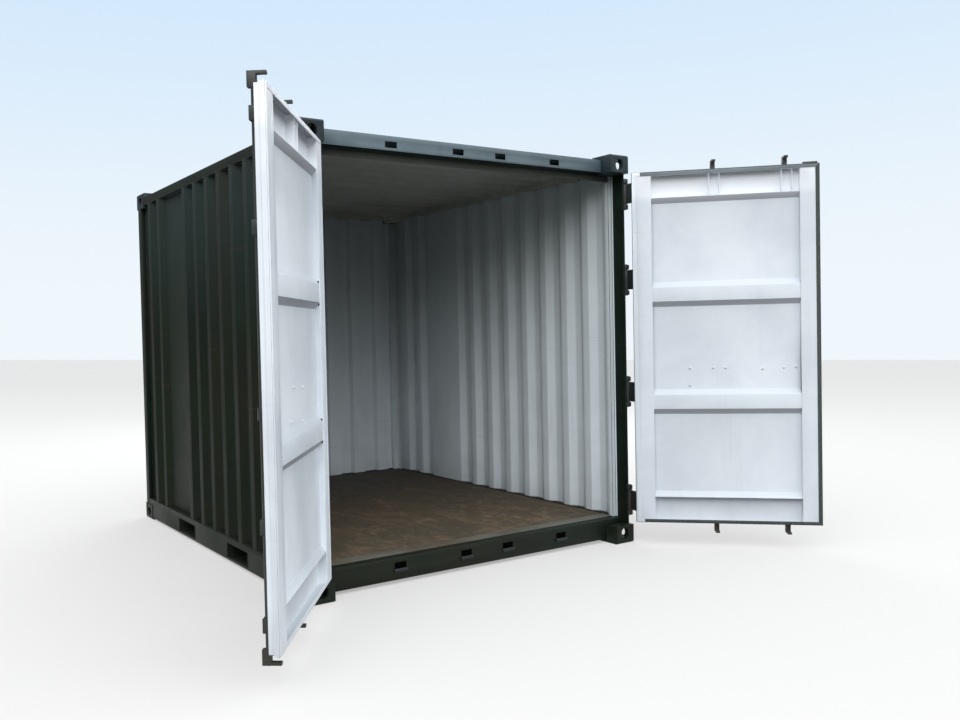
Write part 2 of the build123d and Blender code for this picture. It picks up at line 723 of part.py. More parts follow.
def door_gasket(side):
    """Rubber seal round the leaf: a body, a thin lip that reaches further and a strip on the inner face."""
    with BuildPart(door_plane(side)) as gasket:
        root = (GASKET_LIP[1], LEAF_BACK)
        for n_range, short in ((GASKET_BODY, GASKET_STEP), (GASKET_LIP, 0.0), (root, GASKET_STEP)):
            u_low = LEAF_HINGE_EDGE - GASKET_REACH + short
            u_high = LEAF_FREE_EDGE + GASKET_FREE_REACH - short
            z_low = LEAF_BOTTOM - GASKET_BOTTOM_REACH + short
            z_high = LEAF_TOP + GASKET_TOP_REACH - short
            leaf_box(side, (u_low, n_range[0], z_low), (u_high, n_range[1], z_high))
        leaf_box(
            side,
            (LEAF_HINGE_EDGE, LEAF_FACE, LEAF_BOTTOM),
            (LEAF_FREE_EDGE, LEAF_BACK, LEAF_TOP),
            mode=Mode.SUBTRACT,
        )
        edge = GASKET_BOTTOM_REACH - GASKET_STEP
        leaf_box(
            side,
            (LEAF_HINGE_EDGE - edge, LEAF_BACK, LEAF_BOTTOM - edge),
            (LEAF_FREE_EDGE + edge, LEAF_BACK + GASKET_STRIP_THICK, LEAF_TOP + edge),
        )
        leaf_box(
            side,
            (LEAF_HINGE_EDGE + GASKET_STRIP, LEAF_BACK, LEAF_BOTTOM + GASKET_STRIP),
            (LEAF_FREE_EDGE - GASKET_STRIP, LEAF_BACK + GASKET_STRIP_THICK, LEAF_TOP - GASKET_STRIP),
            mode=Mode.SUBTRACT,
        )
    return gasket.part


def hinge_blades(side):
    """Four blades: a knuckle on the pin, a slanted arm and a strap on the leaf."""
    strap_face = LEAF_FACE - BLADE_THICK
    with BuildPart() as blades:
        for z in HINGE_Z:
            with BuildSketch(door_plane(side, z - HINGE_H / 2)):
                Circle(KNUCKLE_R)
                with BuildLine():
                    Polyline(
                        (-BLADE_ROOT, -side * BLADE_ROOT),
                        (BLADE_ROOT, side * BLADE_ROOT),
                        (LEAF_HINGE_EDGE + BLADE_TOE, -side * strap_face),
                        (LEAF_HINGE_EDGE + BLADE_STRAP, -side * strap_face),
                        (LEAF_HINGE_EDGE + BLADE_STRAP, -side * LEAF_FACE),
                        (LEAF_HINGE_EDGE, -side * LEAF_FACE),
                        close=True,
                    )
                make_face()
                Circle(PIN_R + PIN_CLEARANCE, mode=Mode.SUBTRACT)
            extrude(amount=HINGE_H)
    return blades.part


def hinge_lugs(side):
    """Fixed lugs on the post's front edge with the hinge pins."""
    front = HALF_L - POST_FRONT
    lug_start = HINGE_H / 2 + LUG_GAP
    pin_end = lug_start + LUG_THICK + PIN_STAND
    with BuildPart() as lugs:
        for z in HINGE_Z:
            for low in (z - lug_start - LUG_THICK, z + lug_start):
                with BuildSketch(Plane.XY.offset(low)):
                    with Locations((PIN_X, side * PIN_Y)):
                        Circle(LUG_R)
                    with Locations(((front + PIN_X) / 2, side * (SIDE_FACE - POST_PLATE / 2))):
                        Rectangle(PIN_X - front, POST_PLATE)
                extrude(amount=LUG_THICK)
            with BuildSketch(Plane.XY.offset(z - pin_end)):
                with Locations((PIN_X, side * PIN_Y)):
                    Circle(PIN_R)
            extrude(amount=2 * pin_end)
    return lugs.part


def rod_guides(side):
    """Saddles that hold the locking rods, and rests for the handles."""
    with BuildPart(door_plane(side)) as guides:
        for u in ROD_U[side].values():
            middle_base = PANEL_LEVEL - SHEET if u < PANEL_END else LEAF_FACE
            for z, base in zip(GUIDE_RAIL_Z + GUIDE_PANEL_Z, 2 * (LEAF_FACE,) + 2 * (middle_base,)):
                low = z - GUIDE_H / 2
                high = z + GUIDE_H / 2
                leaf_box(side, (u - GUIDE_W / 2, base - GUIDE_SHEET, low), (u + GUIDE_W / 2, base, high))
                leaf_box(side, (u - GUIDE_HALF, ROD_N - GUIDE_HALF, low), (u + GUIDE_HALF, base, high))
        for name, u in ROD_U[side].items():
            z = HANDLE_Z[name]
            base = PANEL_LEVEL - SHEET
            shelf = z - HANDLE_H / 2 - CATCH_GAP
            centre = u - CATCH_BACK
            leaf_box(
                side,
                (centre - CATCH_W / 2, base - GUIDE_SHEET, shelf - GUIDE_H / 2),
                (centre + CATCH_W / 2, base, shelf + GUIDE_H),
            )
            leaf_box(
                side,
                (centre - CATCH_W / 2, CATCH_N, shelf - GUIDE_SHEET),
                (centre + CATCH_W / 2, base, shelf),
            )
        for u in ROD_U[side].values():
            with Locations((u, -side * ROD_N, (LEAF_TOP + LEAF_BOTTOM) / 2)):
                Cylinder(ROD_R + GUIDE_CLEARANCE, LEAF_TOP - LEAF_BOTTOM, mode=Mode.SUBTRACT)
    return guides.part


def lock_rod(side, name):
    """Locking rod with a cam at each end; the cam fingers point into the container."""
    u = ROD_U[side][name]
    low_end = LEAF_BOTTOM - CAM_RISE
    high_end = LEAF_TOP + CAM_RISE
    with BuildPart(door_plane(side)) as rod:
        with Locations((u, -side * ROD_N, (low_end + high_end) / 2)):
            Cylinder(ROD_R, high_end - low_end)
        for start, end, finger in (
            (LEAF_BOTTOM - CAM_START, low_end, low_end + CAM_FINGER_H),
            (LEAF_TOP + CAM_START, high_end, high_end - CAM_FINGER_H),
        ):
            z_low = min(start, end)
            z_high = max(start, end)
            leaf_box(
                side,
                (u - CAM_HALF, ROD_N + CAM_INNER - CAM_BODY, z_low),
                (u + CAM_HALF, ROD_N + CAM_INNER, z_high),
            )
            leaf_box(
                side,
                (u - CAM_FINGER_HALF, ROD_N, min(finger, end)),
                (u + CAM_FINGER_HALF, ROD_N + CAM_FINGER, max(finger, end)),
            )
        heel = LEAF_TOP + CAM_START
        leaf_box(
            side,
            (u - CAM_FINGER_HALF, ROD_N, heel),
            (u + CAM_FINGER_HALF, ROD_N + CAM_HEEL, heel + CAM_HEEL_H),
        )
    return rod.part


def lock_handle(side, name):
    """Handle bar with a collar on the rod."""
    u = ROD_U[side][name]
    z = HANDLE_Z[name]
    with BuildPart(door_plane(side)) as handle:
        with Locations((u, -side * ROD_N, z)):
            Cylinder(HUB_R, HUB_H)
        leaf_box(
            side,
            (u - HANDLE_REACH, HANDLE_N - HANDLE_THICK / 2, z - HANDLE_H / 2),
            (u, HANDLE_N + HANDLE_THICK / 2, z + HANDLE_H / 2),
        )
        with Locations((u, -side * ROD_N, z)):
            Cylinder(ROD_R, HUB_H, mode=Mode.SUBTRACT)
    return handle.part


for side, word in ((1, "right"), (-1, "left")):
    save(door_frame(side), f"{word}_door_frame")
    save(door_panel(side), f"{word}_door_panel")
    save(door_gasket(side), f"{word}_door_gasket")
    save(hinge_blades(side), f"{word}_hinge_blades")
    save(hinge_lugs(side), f"{word}_hinge_lugs")
    save(rod_guides(side), f"{word}_rod_guides")
    for name in ROD_U[side]:
        save(lock_rod(side, name), f"{word}_{name}_rod")
        save(lock_handle(side, name), f"{word}_{name}_handle")

# Plate on the right leaf that closes over the gap between the doors
OVERLAP_END = LEAF_FREE_EDGE + GASKET_FREE_REACH
OVERLAP_START = OVERLAP_END - OVERLAP_W
OVERLAP_FACE = LEAF_FACE - 2 * OVERLAP_THICK
with BuildPart(door_plane(1)) as overlap:
    leaf_box(
        1,
        (OVERLAP_START, OVERLAP_FACE, LEAF_TOP - OVERLAP_DROP),
        (OVERLAP_END, LEAF_FACE, LEAF_TOP),
    )
    leaf_box(
        1,
        (OVERLAP_START, OVERLAP_FACE, LEAF_TOP),
        (OVERLAP_END, LEAF_FACE - OVERLAP_THICK, LEAF_TOP + OVERLAP_RISE),
    )
save(overlap.part, "overlap_plate")
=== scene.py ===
import json
import math

import bmesh
import bpy
from bpy.props import FloatProperty, FloatVectorProperty, PointerProperty
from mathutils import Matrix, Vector


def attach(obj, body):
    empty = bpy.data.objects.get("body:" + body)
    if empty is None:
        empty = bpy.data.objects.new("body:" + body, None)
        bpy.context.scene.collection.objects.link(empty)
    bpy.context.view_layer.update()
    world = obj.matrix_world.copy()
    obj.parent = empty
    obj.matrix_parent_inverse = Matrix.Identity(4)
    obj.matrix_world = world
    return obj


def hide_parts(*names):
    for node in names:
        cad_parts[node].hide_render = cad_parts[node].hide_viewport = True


bl_info = {
    "name": "Freight container dressing",
    "version": (1, 0, 0),
    "blender": (4, 5, 0),
    "location": "View3D > Sidebar > Container",
    "description": "Dresses the freight container: rounded steel, paint, wear, seals and bolts",
    "category": "Object",
}

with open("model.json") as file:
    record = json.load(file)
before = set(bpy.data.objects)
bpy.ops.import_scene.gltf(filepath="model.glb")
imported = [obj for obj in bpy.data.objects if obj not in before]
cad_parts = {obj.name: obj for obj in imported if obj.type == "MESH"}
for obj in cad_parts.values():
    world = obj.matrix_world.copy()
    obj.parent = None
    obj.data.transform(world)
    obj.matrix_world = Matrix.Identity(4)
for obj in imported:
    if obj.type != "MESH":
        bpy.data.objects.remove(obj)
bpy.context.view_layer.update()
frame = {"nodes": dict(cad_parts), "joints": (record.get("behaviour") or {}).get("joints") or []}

MM = 0.001
SIDES = ((1, "right"), (-1, "left"))

# Places in metres in the row's frame: the room, the castings, the walls and their ribs

ROOM_FRONT = 1.341
ROOM_BACK = -1.428
ROOM_TOP = 2.53
ROOF_SHEET = 2.531
SIDE_SHEET = 1.182
END_SHEET = 1.445
WALL_FACE = 1.216
END_FACE = 1.488
CASTING_X = (1.4955, 1.3175)
CASTING_Y = (1.219, 1.057)
CASTING_LOW = (0.0, 0.118)
CASTING_HIGH = (2.473, 2.591)
WALL_FLATS = [1.215 - 0.225 * k for k in range(8)] + [-0.95, -1.175]
FLAT_REACH = 0.056
ROOF_RIBS = [(-1.266 + 0.209 * k, -1.138 + 0.209 * k) for k in range(12)]
RIB_TOP = 2.549

# Rails, posts, header and floor: where one paint ends and the next begins, and where the welds run

RAIL_LIP = 1.2155
END_SHELF = -1.47
END_POST_FRONT = -1.397
END_POST_BEND = (
    (END_POST_FRONT, WALL_FACE), (-1.468, WALL_FACE), (-END_FACE, 1.196), (-END_FACE, 1.116)
)
DOOR_POST_X = (1.3375, 1.4485)
SEAL_WEB = (1.3425, 1.2035)
POST_FOOT_X = (1.342, 1.356)
POST_FOOT_Y = (1.2, 1.21)
HEADER_BACK = 1.3385
HEADER_FACE = 1.3995
# Under the header: a painted shadow line down to the strip top, and painted shade on the strip
# below it.
HEADER_UNDER = 2.483
STRIP_TOP = 2.471
HEADER_ENDS = ((2.484, 2.564), (0.026, 0.117))
POCKETS_X = (-0.48, 0.48)
POCKET_REACH = 0.17
POCKET_Z = (0.03, 0.126)
FLOOR_TOP = 0.158
MEMBERS_X = (-1.26, -1.015, -0.77, -0.16, 0.16, 0.77, 1.0, 1.23)
SCREWS_Y = [-1.1 + 0.2 * k for k in range(12)]

# Door leaves: heights, and how far along the leaf and how deep behind the pin a form lies

HINGE_PIN = (1.4755, 1.199)
CHANNELS_Z = (0.330, 2.283)
RIBS_Z = (0.953, 1.656)
RIB_REACH = 0.063
CORNERS_Z = (0.1645, 2.4455)
CHANNEL_DEPTH = 0.0785
SHEET_DEPTH = 0.097
RIB_DEPTH = 0.1205
HINGE_EDGE = 0.056
FREE_EDGE = 1.17
SEAL_START = 0.09
SEAL_END = 1.11
SEAL_FREE = 1.1
SEAL_SIDE = 0.124
SEAL_LIP = 0.1255
TOP_SEAL = 2.40

# Small parts on the leaves, in millimetres

ROD_FROM_MIDDLE = {1: (647.0, 207.0), -1: (582.0, 111.0)}
PIN_FROM_MIDDLE = 1199.0
HINGES_Z = (284.0, 1014.9, 1764.1, 2335.1)
HINGE_BOLTS_U = (84, 134)
HINGE_BOLTS_DZ = (-42, 42)
GUIDES_Z = (258, 663, 1887, 2347)
GUIDE_BOLTS = [(du, dz) for du in (-40, 40) for dz in (-18, 18)]
STILE_FACE = 66
GUIDE_FACES = (70, 90)
FREE_STILE = 1069
RIVET_FACE = 98
TAIL_FACE = 95.5
PANEL_RIVETS = {
    1: ((391, 1172), (390, 1061), (535, 1173), (612, 1172), (841, 1162), (968, 1170), (1042, 1174)),
    -1: ((961, 1225), (700, 1212), (505, 1200), (975, 1071), (760, 1060), (524, 1040)),
}

# The camera that took the photograph, and the stage round it

LENS = 33.588
LENS_SHIFT = (0.0758, -0.0035)
CAMERA_PLACE = (5.7737, -3.2678, 1.4501)
CAMERA_TURN = (88.4078, 1.2924, 57.6864)
STAGE_ACROSS = Vector((0.9266, 0.376, 0.0))
STAGE_AWAY = Vector((-0.376, 0.9266, 0.0))
STAGE_CORNERS = ((-140, -50), (60, -50), (60, 32.2), (-140, 32.2))


# Node helpers


class Tree:
    """Short way to add and wire nodes in one tree."""

    def __init__(self, tree):
        self.tree = tree

    def add(self, kind, **values):
        """New node; keys with a capital are socket values, others are node properties."""
        node = self.tree.nodes.new(kind)
        for key, value in values.items():
            if key[0].isupper():
                self.put(node, key.replace("_", " "), value)
            else:
                setattr(node, key, value)
        return node

    def put(self, node, socket, value):
        """Set an input to a value, or wire it from an output socket."""
        target = node.inputs[socket]
        if isinstance(value, bpy.types.NodeSocket):
            self.tree.links.new(value, target)
        else:
            target.default_value = value

    def maths(self, operation, first, second=0.0, clamp=False):
        """Math node; gives its output socket."""
        node = self.add("ShaderNodeMath", operation=operation, use_clamp=clamp)
        self.put(node, 0, first)
        self.put(node, 1, second)
        return node.outputs[0]

    def ramp(self, value, low, high, start=0.0, end=1.0):
        """Smooth step of a value from low to high."""
        node = self.add(
            "ShaderNodeMapRange", interpolation_type="SMOOTHSTEP", Value=value,
            From_Min=low, From_Max=high, To_Min=start, To_Max=end,
        )
        return node.outputs["Result"]

    def mix(self, factor, first, second):
        """Colour mix; gives its output socket."""
        node = self.add("ShaderNodeMix", data_type="RGBA")
        self.put(node, 0, factor)
        self.put(node, 6, first)
        self.put(node, 7, second)
        return node.outputs[2]

    def noise(self, vector, scale, detail=4.0, rough=0.55, distort=0.0):
        """Noise texture value between 0 and 1."""
        node = self.add(
            "ShaderNodeTexNoise", Vector=vector, Scale=scale, Detail=detail,
            Roughness=rough, Distortion=distort,
        )
        return node.outputs["Fac"]

    def stretched(self, vector, x, y, z):
        """Vector scaled per axis, so that a pattern is drawn out."""
        node = self.add(
            "ShaderNodeMapping", vector_type="POINT", Vector=vector, Scale=(x, y, z)
        )
        return node.outputs[0]


def new_group(name, inputs, outputs):
    """Empty shader node group with named sockets."""
    group = bpy.data.node_groups.new(name, "ShaderNodeTree")
    for label, kind, default in inputs:
        socket = group.interface.new_socket(label, in_out="INPUT", socket_type=kind)
        if default is not None:
            socket.default_value = default
    for label, kind in outputs:
        group.interface.new_socket(label, in_out="OUTPUT", socket_type=kind)
    tree = Tree(group)
    return group, tree, tree.add("NodeGroupInput"), tree.add("NodeGroupOutput")


def paint_film_group():
    """Rolled paint: broad tone patches, run streaks down the steel, chips and a fine skin."""
    group, t, source, sink = new_group(
        "paint_film",
        [("Vector", "NodeSocketVector", None), ("Chips", "NodeSocketFloat", 0.3)],
        [
            ("Tone", "NodeSocketFloat"),
            ("Streaks", "NodeSocketFloat"),
            ("Chips", "NodeSocketFloat"),
            ("Skin", "NodeSocketFloat"),
        ],
    )
    vector = source.outputs["Vector"]
    broad = t.noise(vector, 1.6, 5.0, 0.6, 0.4)
    t.put(sink, "Tone", t.ramp(broad, 0.32, 0.68))
    lines = t.noise(t.stretched(vector, 22.0, 22.0, 1.1), 1.0, 4.0, 0.65)
    fade = t.noise(vector, 1.1, 2.0)
    streaks = t.maths("MULTIPLY", t.ramp(lines, 0.5, 0.72), t.ramp(fade, 0.38, 0.62))
    t.put(sink, "Streaks", streaks)
    chip_cells = t.noise(vector, 38.0, 6.0, 0.75)
    chip_zone = t.noise(vector, 3.1, 3.0)
    zone = t.maths("ADD", t.ramp(chip_zone, 0.45, 0.75), source.outputs["Chips"])
    limit = t.maths("SUBTRACT", 0.86, t.maths("MULTIPLY", zone, 0.16))
    above = t.maths("SUBTRACT", chip_cells, limit)
    t.put(sink, "Chips", t.maths("MULTIPLY", above, 40.0, clamp=True))
    t.put(sink, "Skin", t.noise(vector, 260.0, 3.0, 0.5))
    return group


def grime_group():
    """Dirt that gathers low down, broad smudges and the thin scrapes of passing cargo."""
    group, t, source, sink = new_group(
        "grime",
        [
            ("Vector", "NodeSocketVector", None),
            ("Clean above", "NodeSocketFloat", 0.4),
            ("Dirty below", "NodeSocketFloat", 0.0),
            ("Smudge", "NodeSocketFloat", 0.3),
        ],
        [("Low", "NodeSocketFloat"), ("Smudge", "NodeSocketFloat"), ("Scrapes", "NodeSocketFloat")],
    )
    vector = source.outputs["Vector"]
    split = t.add("ShaderNodeSeparateXYZ", Vector=vector)
    wave = t.maths("MULTIPLY", t.noise(vector, 5.0, 4.0, 0.6), 0.08)
    level = t.maths("SUBTRACT", split.outputs["Z"], wave)
    t.put(sink, "Low", t.ramp(level, source.outputs["Clean above"], source.outputs["Dirty below"]))
    smear = t.noise(t.stretched(vector, 1.1, 1.1, 0.45), 1.0, 6.0, 0.62, 0.5)
    soft = t.ramp(smear, 0.5, 0.72)
    t.put(sink, "Smudge", t.maths("MULTIPLY", soft, source.outputs["Smudge"]))
    lines = t.noise(t.stretched(vector, 1.3, 1.3, 70.0), 1.0, 3.0, 0.6, 0.2)
    zone = t.noise(t.stretched(vector, 1.5, 1.5, 5.0), 1.0, 2.0)
    rubbed = t.maths("MULTIPLY", t.ramp(lines, 0.62, 0.7), t.ramp(zone, 0.52, 0.66))
    t.put(sink, "Scrapes", rubbed)
    return group


def boards_group():
    """Worn plywood: sheet joints, long grain, scuffs and dark damp marks."""
    group, t, source, sink = new_group(
        "worn_boards",
        [("Vector", "NodeSocketVector", None)],
        [
            ("Grain", "NodeSocketFloat"),
            ("Scuffs", "NodeSocketFloat"),
            ("Damp", "NodeSocketFloat"),
            ("Seams", "NodeSocketFloat"),
            ("Walked", "NodeSocketFloat"),
            ("Height", "NodeSocketFloat"),
        ],
    )
    vector = source.outputs["Vector"]
    grain = t.noise(t.stretched(vector, 60.0, 4.0, 60.0), 1.0, 5.0, 0.7, 0.6)
    scuffs = t.noise(t.stretched(vector, 5.0, 9.0, 5.0), 1.0, 7.0, 0.75, 1.2)
    damp = t.noise(vector, 1.7, 5.0, 0.65, 0.6)
    t.put(sink, "Grain", t.ramp(grain, 0.3, 0.7))
    t.put(sink, "Scuffs", t.ramp(scuffs, 0.5, 0.7))
    t.put(sink, "Damp", t.ramp(damp, 0.42, 0.66))
    split = t.add("ShaderNodeSeparateXYZ", Vector=vector)
    seams = 0.0
    for place in (-0.6, 0.33):
        away = t.maths("ABSOLUTE", t.maths("SUBTRACT", split.outputs["X"], place))
        seams = t.maths("MAXIMUM", seams, t.ramp(away, 0.004, 0.0015))
    t.put(sink, "Seams", seams)
    near_doors = t.ramp(split.outputs["X"], -0.6, 1.2)
    t.put(sink, "Walked", t.maths("MULTIPLY", near_doors, t.ramp(scuffs, 0.4, 0.62)))
    t.put(sink, "Height", t.maths("ADD", t.maths("MULTIPLY", grain, 0.5), scuffs))
    return group


def facing_dust_and_shade_group():
    """Faces that look up hold dust and get painted shade on their lit tops; faces that look down
    get painted shade.
    """
    group, t, source, sink = new_group(
        "facing_dust_and_shade",
        [("Normal", "NodeSocketVector", None)],
        [("Dust and painted shade", "NodeSocketFloat"), ("Painted underside shade", "NodeSocketFloat")],
    )
    tilt = t.add("ShaderNodeSeparateXYZ", Vector=source.outputs["Normal"]).outputs["Z"]
    t.put(sink, "Dust and painted shade", t.ramp(tilt, 0.25, 0.6))
    t.put(sink, "Painted underside shade", t.ramp(tilt, -0.25, -0.6))
    return group


GROUPS = {}


def shared(name):
    """The shader node group of that name, built once."""
    if name not in GROUPS:
        makers = {
            "paint_film": paint_film_group,
            "grime": grime_group,
            "worn_boards": boards_group,
            "facing_dust_and_shade": facing_dust_and_shade_group,
        }
        GROUPS[name] = makers[name]()
    return GROUPS[name]


def rgb(red, green, blue):
    """Linear colour with full alpha from three 8-bit sRGB numbers."""
    out = []
    for channel in (red, green, blue):
        c = channel / 255.0
        out.append(c / 12.92 if c <= 0.04045 else ((c + 0.055) / 1.055) ** 2.4)
    return (*out, 1.0)


MATERIALS = {}
# Door whites: the left is a lighter copy of the right, painted light for the lesser light that
# falls on the left leaf.
DOOR_WHITES_WITH_PAINTED_LIGHT = {
    "right": (rgb(212, 218, 224), rgb(226, 231, 236)),
    "left": (rgb(222, 228, 234), rgb(236, 241, 246)),
}


def start_material(name):
    """New material; gives its tree, its shader and the object coordinates."""
    material = bpy.data.materials.new(name)
    material.use_nodes = True
    material.node_tree.nodes.clear()
    t = Tree(material.node_tree)
    shader = t.add("ShaderNodeBsdfPrincipled")
    sink = t.add("ShaderNodeOutputMaterial")
    t.put(sink, "Surface", shader.outputs[0])
    coords = t.add("ShaderNodeTexCoord").outputs["Object"]
    MATERIALS[name] = material
    return t, shader, coords


def bump(t, shader, height, strength, distance):
    """Bump the shader's normal by a height."""
    node = t.add("ShaderNodeBump", Height=height, Strength=strength, Distance=distance)
    t.put(shader, "Normal", node.outputs[0])


def painted_steel(
    name, dark, light, stain, under, rough, chips=0.3, low=0.5, smudge=0.3, streak=0.3,
    scrape=0.3, edge=(0.45, 0.0), shine=0.5, facing_dust_and_shade=None, upper=None, fade=(1.2, 2.5),
):
    """Paint on steel: two tones, stain from streaks, smudges and dirt low down, bare metal under
    scrapes and chips. The facing tones colour faces that look up with dust and painted shade and
    faces that look down with painted shade. Upper is a tone mixed in as the face rises through
    fade: painted shade on the white walls, painted light on the door whites.
    """
    t, shader, coords = start_material(name)
    film = t.add("ShaderNodeGroup", node_tree=shared("paint_film"), Vector=coords, Chips=chips)
    dirt = t.add(
        "ShaderNodeGroup", node_tree=shared("grime"), Vector=coords, Smudge=smudge,
        Clean_above=edge[0], Dirty_below=edge[1],
    )
    colour = t.mix(film.outputs["Tone"], dark, light)
    if upper:
        height = t.add("ShaderNodeSeparateXYZ", Vector=coords).outputs["Z"]
        colour = t.mix(t.ramp(height, *fade, 0.0, 0.7), colour, upper)
    # Facing tones: dust with painted shade on faces that look up, painted shade on faces that look
    # down.
    if facing_dust_and_shade:
        normal = t.add("ShaderNodeNewGeometry").outputs["Normal"]
        facing = t.add("ShaderNodeGroup", node_tree=shared("facing_dust_and_shade"), Normal=normal)
        colour = t.mix(facing.outputs["Dust and painted shade"], colour, facing_dust_and_shade[0])
        colour = t.mix(facing.outputs["Painted underside shade"], colour, facing_dust_and_shade[1])
    colour = t.mix(t.maths("MULTIPLY", film.outputs["Streaks"], streak), colour, stain)
    colour = t.mix(dirt.outputs["Smudge"], colour, stain)
    colour = t.mix(t.maths("MULTIPLY", dirt.outputs["Scrapes"], scrape), colour, under)
    colour = t.mix(t.maths("MULTIPLY", dirt.outputs["Low"], low), colour, stain)
    colour = t.mix(film.outputs["Chips"], colour, under)
    t.put(shader, "Base Color", colour)
    t.put(shader, "Specular IOR Level", shine)
    wear = t.maths("MULTIPLY", film.outputs["Chips"], 0.3)
    gloss = t.maths("MULTIPLY", film.outputs["Tone"], 0.12)
    t.put(shader, "Roughness", t.maths("ADD", t.maths("ADD", rough, gloss), wear, clamp=True))
    skin = t.maths("MULTIPLY", film.outputs["Skin"], 0.35)
    skin = t.maths("SUBTRACT", skin, film.outputs["Chips"])
    waves = t.maths("MULTIPLY", t.noise(coords, 3.2, 2.0), 3.0)
    bump(t, shader, t.maths("ADD", skin, waves), 0.35, 0.0012)


def make_materials(paint):
    """All the finishes of the container."""
    green, chalk = (*paint.green, 1.0), (*paint.chalk, 1.0)
    white, shade = (*paint.white, 1.0), (*paint.white_shade, 1.0)
    rust = rgb(92, 58, 38)
    painted_steel(
        "dark_green_paint", green, chalk, rgb(34, 30, 22), rust, 0.52, chips=0.2, smudge=0.6,
        low=0.35, scrape=0.25, shine=0.14, upper=rgb(34, 48, 46),
    )
    painted_steel(
        "rail_paint", rgb(7, 19, 12), rgb(16, 32, 23), rgb(34, 30, 21), rust, 0.48,
        chips=0.5, smudge=0.4, low=0.3, shine=0.22,
    )
    painted_steel(
        "casting_paint", rgb(24, 37, 41), rgb(42, 55, 60), rgb(40, 40, 36), rust, 0.42,
        chips=0.6, smudge=0.3, shine=0.3,
    )
    # Header: paint lightened to a bluish grey as a painted reflection of the sky on its face; chips
    # and scrapes are wear.
    painted_steel(
        "header_paint_with_painted_sheen", rgb(76, 91, 98), rgb(92, 107, 114), rgb(66, 74, 74), rgb(82, 66, 50), 0.36,
        chips=0.35, smudge=0.3, scrape=0.35,
    )
    # Strip below the header: a dark grey so that the front-lit strip looks as dark as shade,
    # painted shade.
    painted_steel(
        "seal_strip_painted_shade", rgb(62, 65, 60), rgb(78, 80, 75), rgb(56, 52, 46), rgb(90, 84, 76), 0.6,
        chips=0.4, shine=0.2,
    )
    painted_steel(
        "wall_white_with_painted_shade", shade, white, rgb(150, 150, 140), rgb(120, 112, 98), 0.5,
        chips=0.0, low=0.08, smudge=0.12, streak=0.1, scrape=0.18, edge=(0.26, 0.14),
        # The upper tone darkens the walls from 0.3 m up towards the ceiling: painted shade.
        upper=rgb(173, 179, 178), fade=(0.3, 2.4),
    )
    # Ceiling white: a darker, browner copy of the wall white, dirt and painted shade for the dark
    # top of the room.
    painted_steel(
        "ceiling_white_dirt_and_painted_shade", rgb(158, 160, 152), rgb(176, 177, 170), rgb(120, 114, 100),
        rgb(104, 84, 66), 0.55, chips=0.1, low=0.0, smudge=0.3, streak=0.1, scrape=0.2,
    )
    for word, tones in DOOR_WHITES_WITH_PAINTED_LIGHT.items():
        painted_steel(
            f"{word}_door_white_with_painted_light_and_shade", *tones, rgb(176, 178, 174), rgb(132, 132, 126), 0.4,
            chips=0.0, low=0.1, smudge=0.1, streak=0.12, scrape=0.05,
            # Dust with painted shade on up-facing faces, painted shade on down-facing faces.
            facing_dust_and_shade=(rgb(196, 202, 208), rgb(155, 159, 164)),
            # The upper tone lightens the doors' top channel above 2.25 m: painted light.
            upper=rgb(248, 250, 253), fade=(2.25, 2.32),
        )
    painted_steel(
        "gear_paint", rgb(22, 28, 26), rgb(44, 52, 50), rgb(56, 48, 38), rgb(104, 92, 78), 0.42,
        chips=0.5, smudge=0.3,
    )
    painted_steel(
        "threshold_steel", rgb(58, 66, 60), rgb(104, 112, 104), rgb(80, 64, 48),
        rgb(140, 140, 130), 0.48, chips=0.9, smudge=0.7, scrape=0.8,
    )

    t, shader, coords = start_material("seal_rubber")
    fine = t.noise(coords, 90.0, 3.0)
    t.put(shader, "Base Color", t.mix(t.ramp(fine, 0.35, 0.7), rgb(40, 46, 44), rgb(70, 78, 76)))
    t.put(shader, "Roughness", t.ramp(fine, 0.2, 0.8, 0.55, 0.75))
    bump(t, shader, fine, 0.2, 0.0005)

    painted_steel(
        "dusty_rubber", rgb(96, 106, 110), rgb(122, 132, 136), rgb(84, 88, 86), rgb(60, 66, 64),
        0.6, chips=0.4,
    )

    t, shader, coords = start_material("plywood")
    boards = t.add("ShaderNodeGroup", node_tree=shared("worn_boards"), Vector=coords)
    colour = t.mix(boards.outputs["Grain"], rgb(55, 46, 32), rgb(79, 63, 43))
    marks = {
        "Scuffs": (0.4, rgb(114, 81, 57)),
        "Walked": (0.4, rgb(118, 102, 77)),
        "Damp": (0.55, rgb(52, 50, 40)),
        "Seams": (0.85, rgb(26, 22, 18)),
    }
    for mark, (share, tone) in marks.items():
        colour = t.mix(t.maths("MULTIPLY", boards.outputs[mark], share), colour, tone)
    t.put(shader, "Base Color", colour)
    t.put(shader, "Roughness", t.ramp(boards.outputs["Scuffs"], 0.0, 1.0, 0.8, 0.6))
    bump(t, shader, boards.outputs["Height"], 0.3, 0.001)


# Mesh helpers

MERGE_DISTANCE = 0.00002
SPLIT_DISTANCE = 0.00001
FLAT_ANGLE = math.radians(0.6)
ROUNDED_ANGLE = math.radians(20)
CORNER_ANGLE = 1.2


def planes(axis, *places):
    """Cutting planes across one axis, each a place and the direction across it."""
    across = tuple(float(k == axis) for k in range(3))
    return [(tuple(place * part for part in across), across) for place in places]


def split_at(mesh, cuts):
    """Split the faces of a bmesh along cutting planes."""
    for place, across in cuts:
        geometry = mesh.verts[:] + mesh.edges[:] + mesh.faces[:]
        bmesh.ops.bisect_plane(
            mesh, geom=geometry, dist=SPLIT_DISTANCE, plane_co=place, plane_no=across
        )


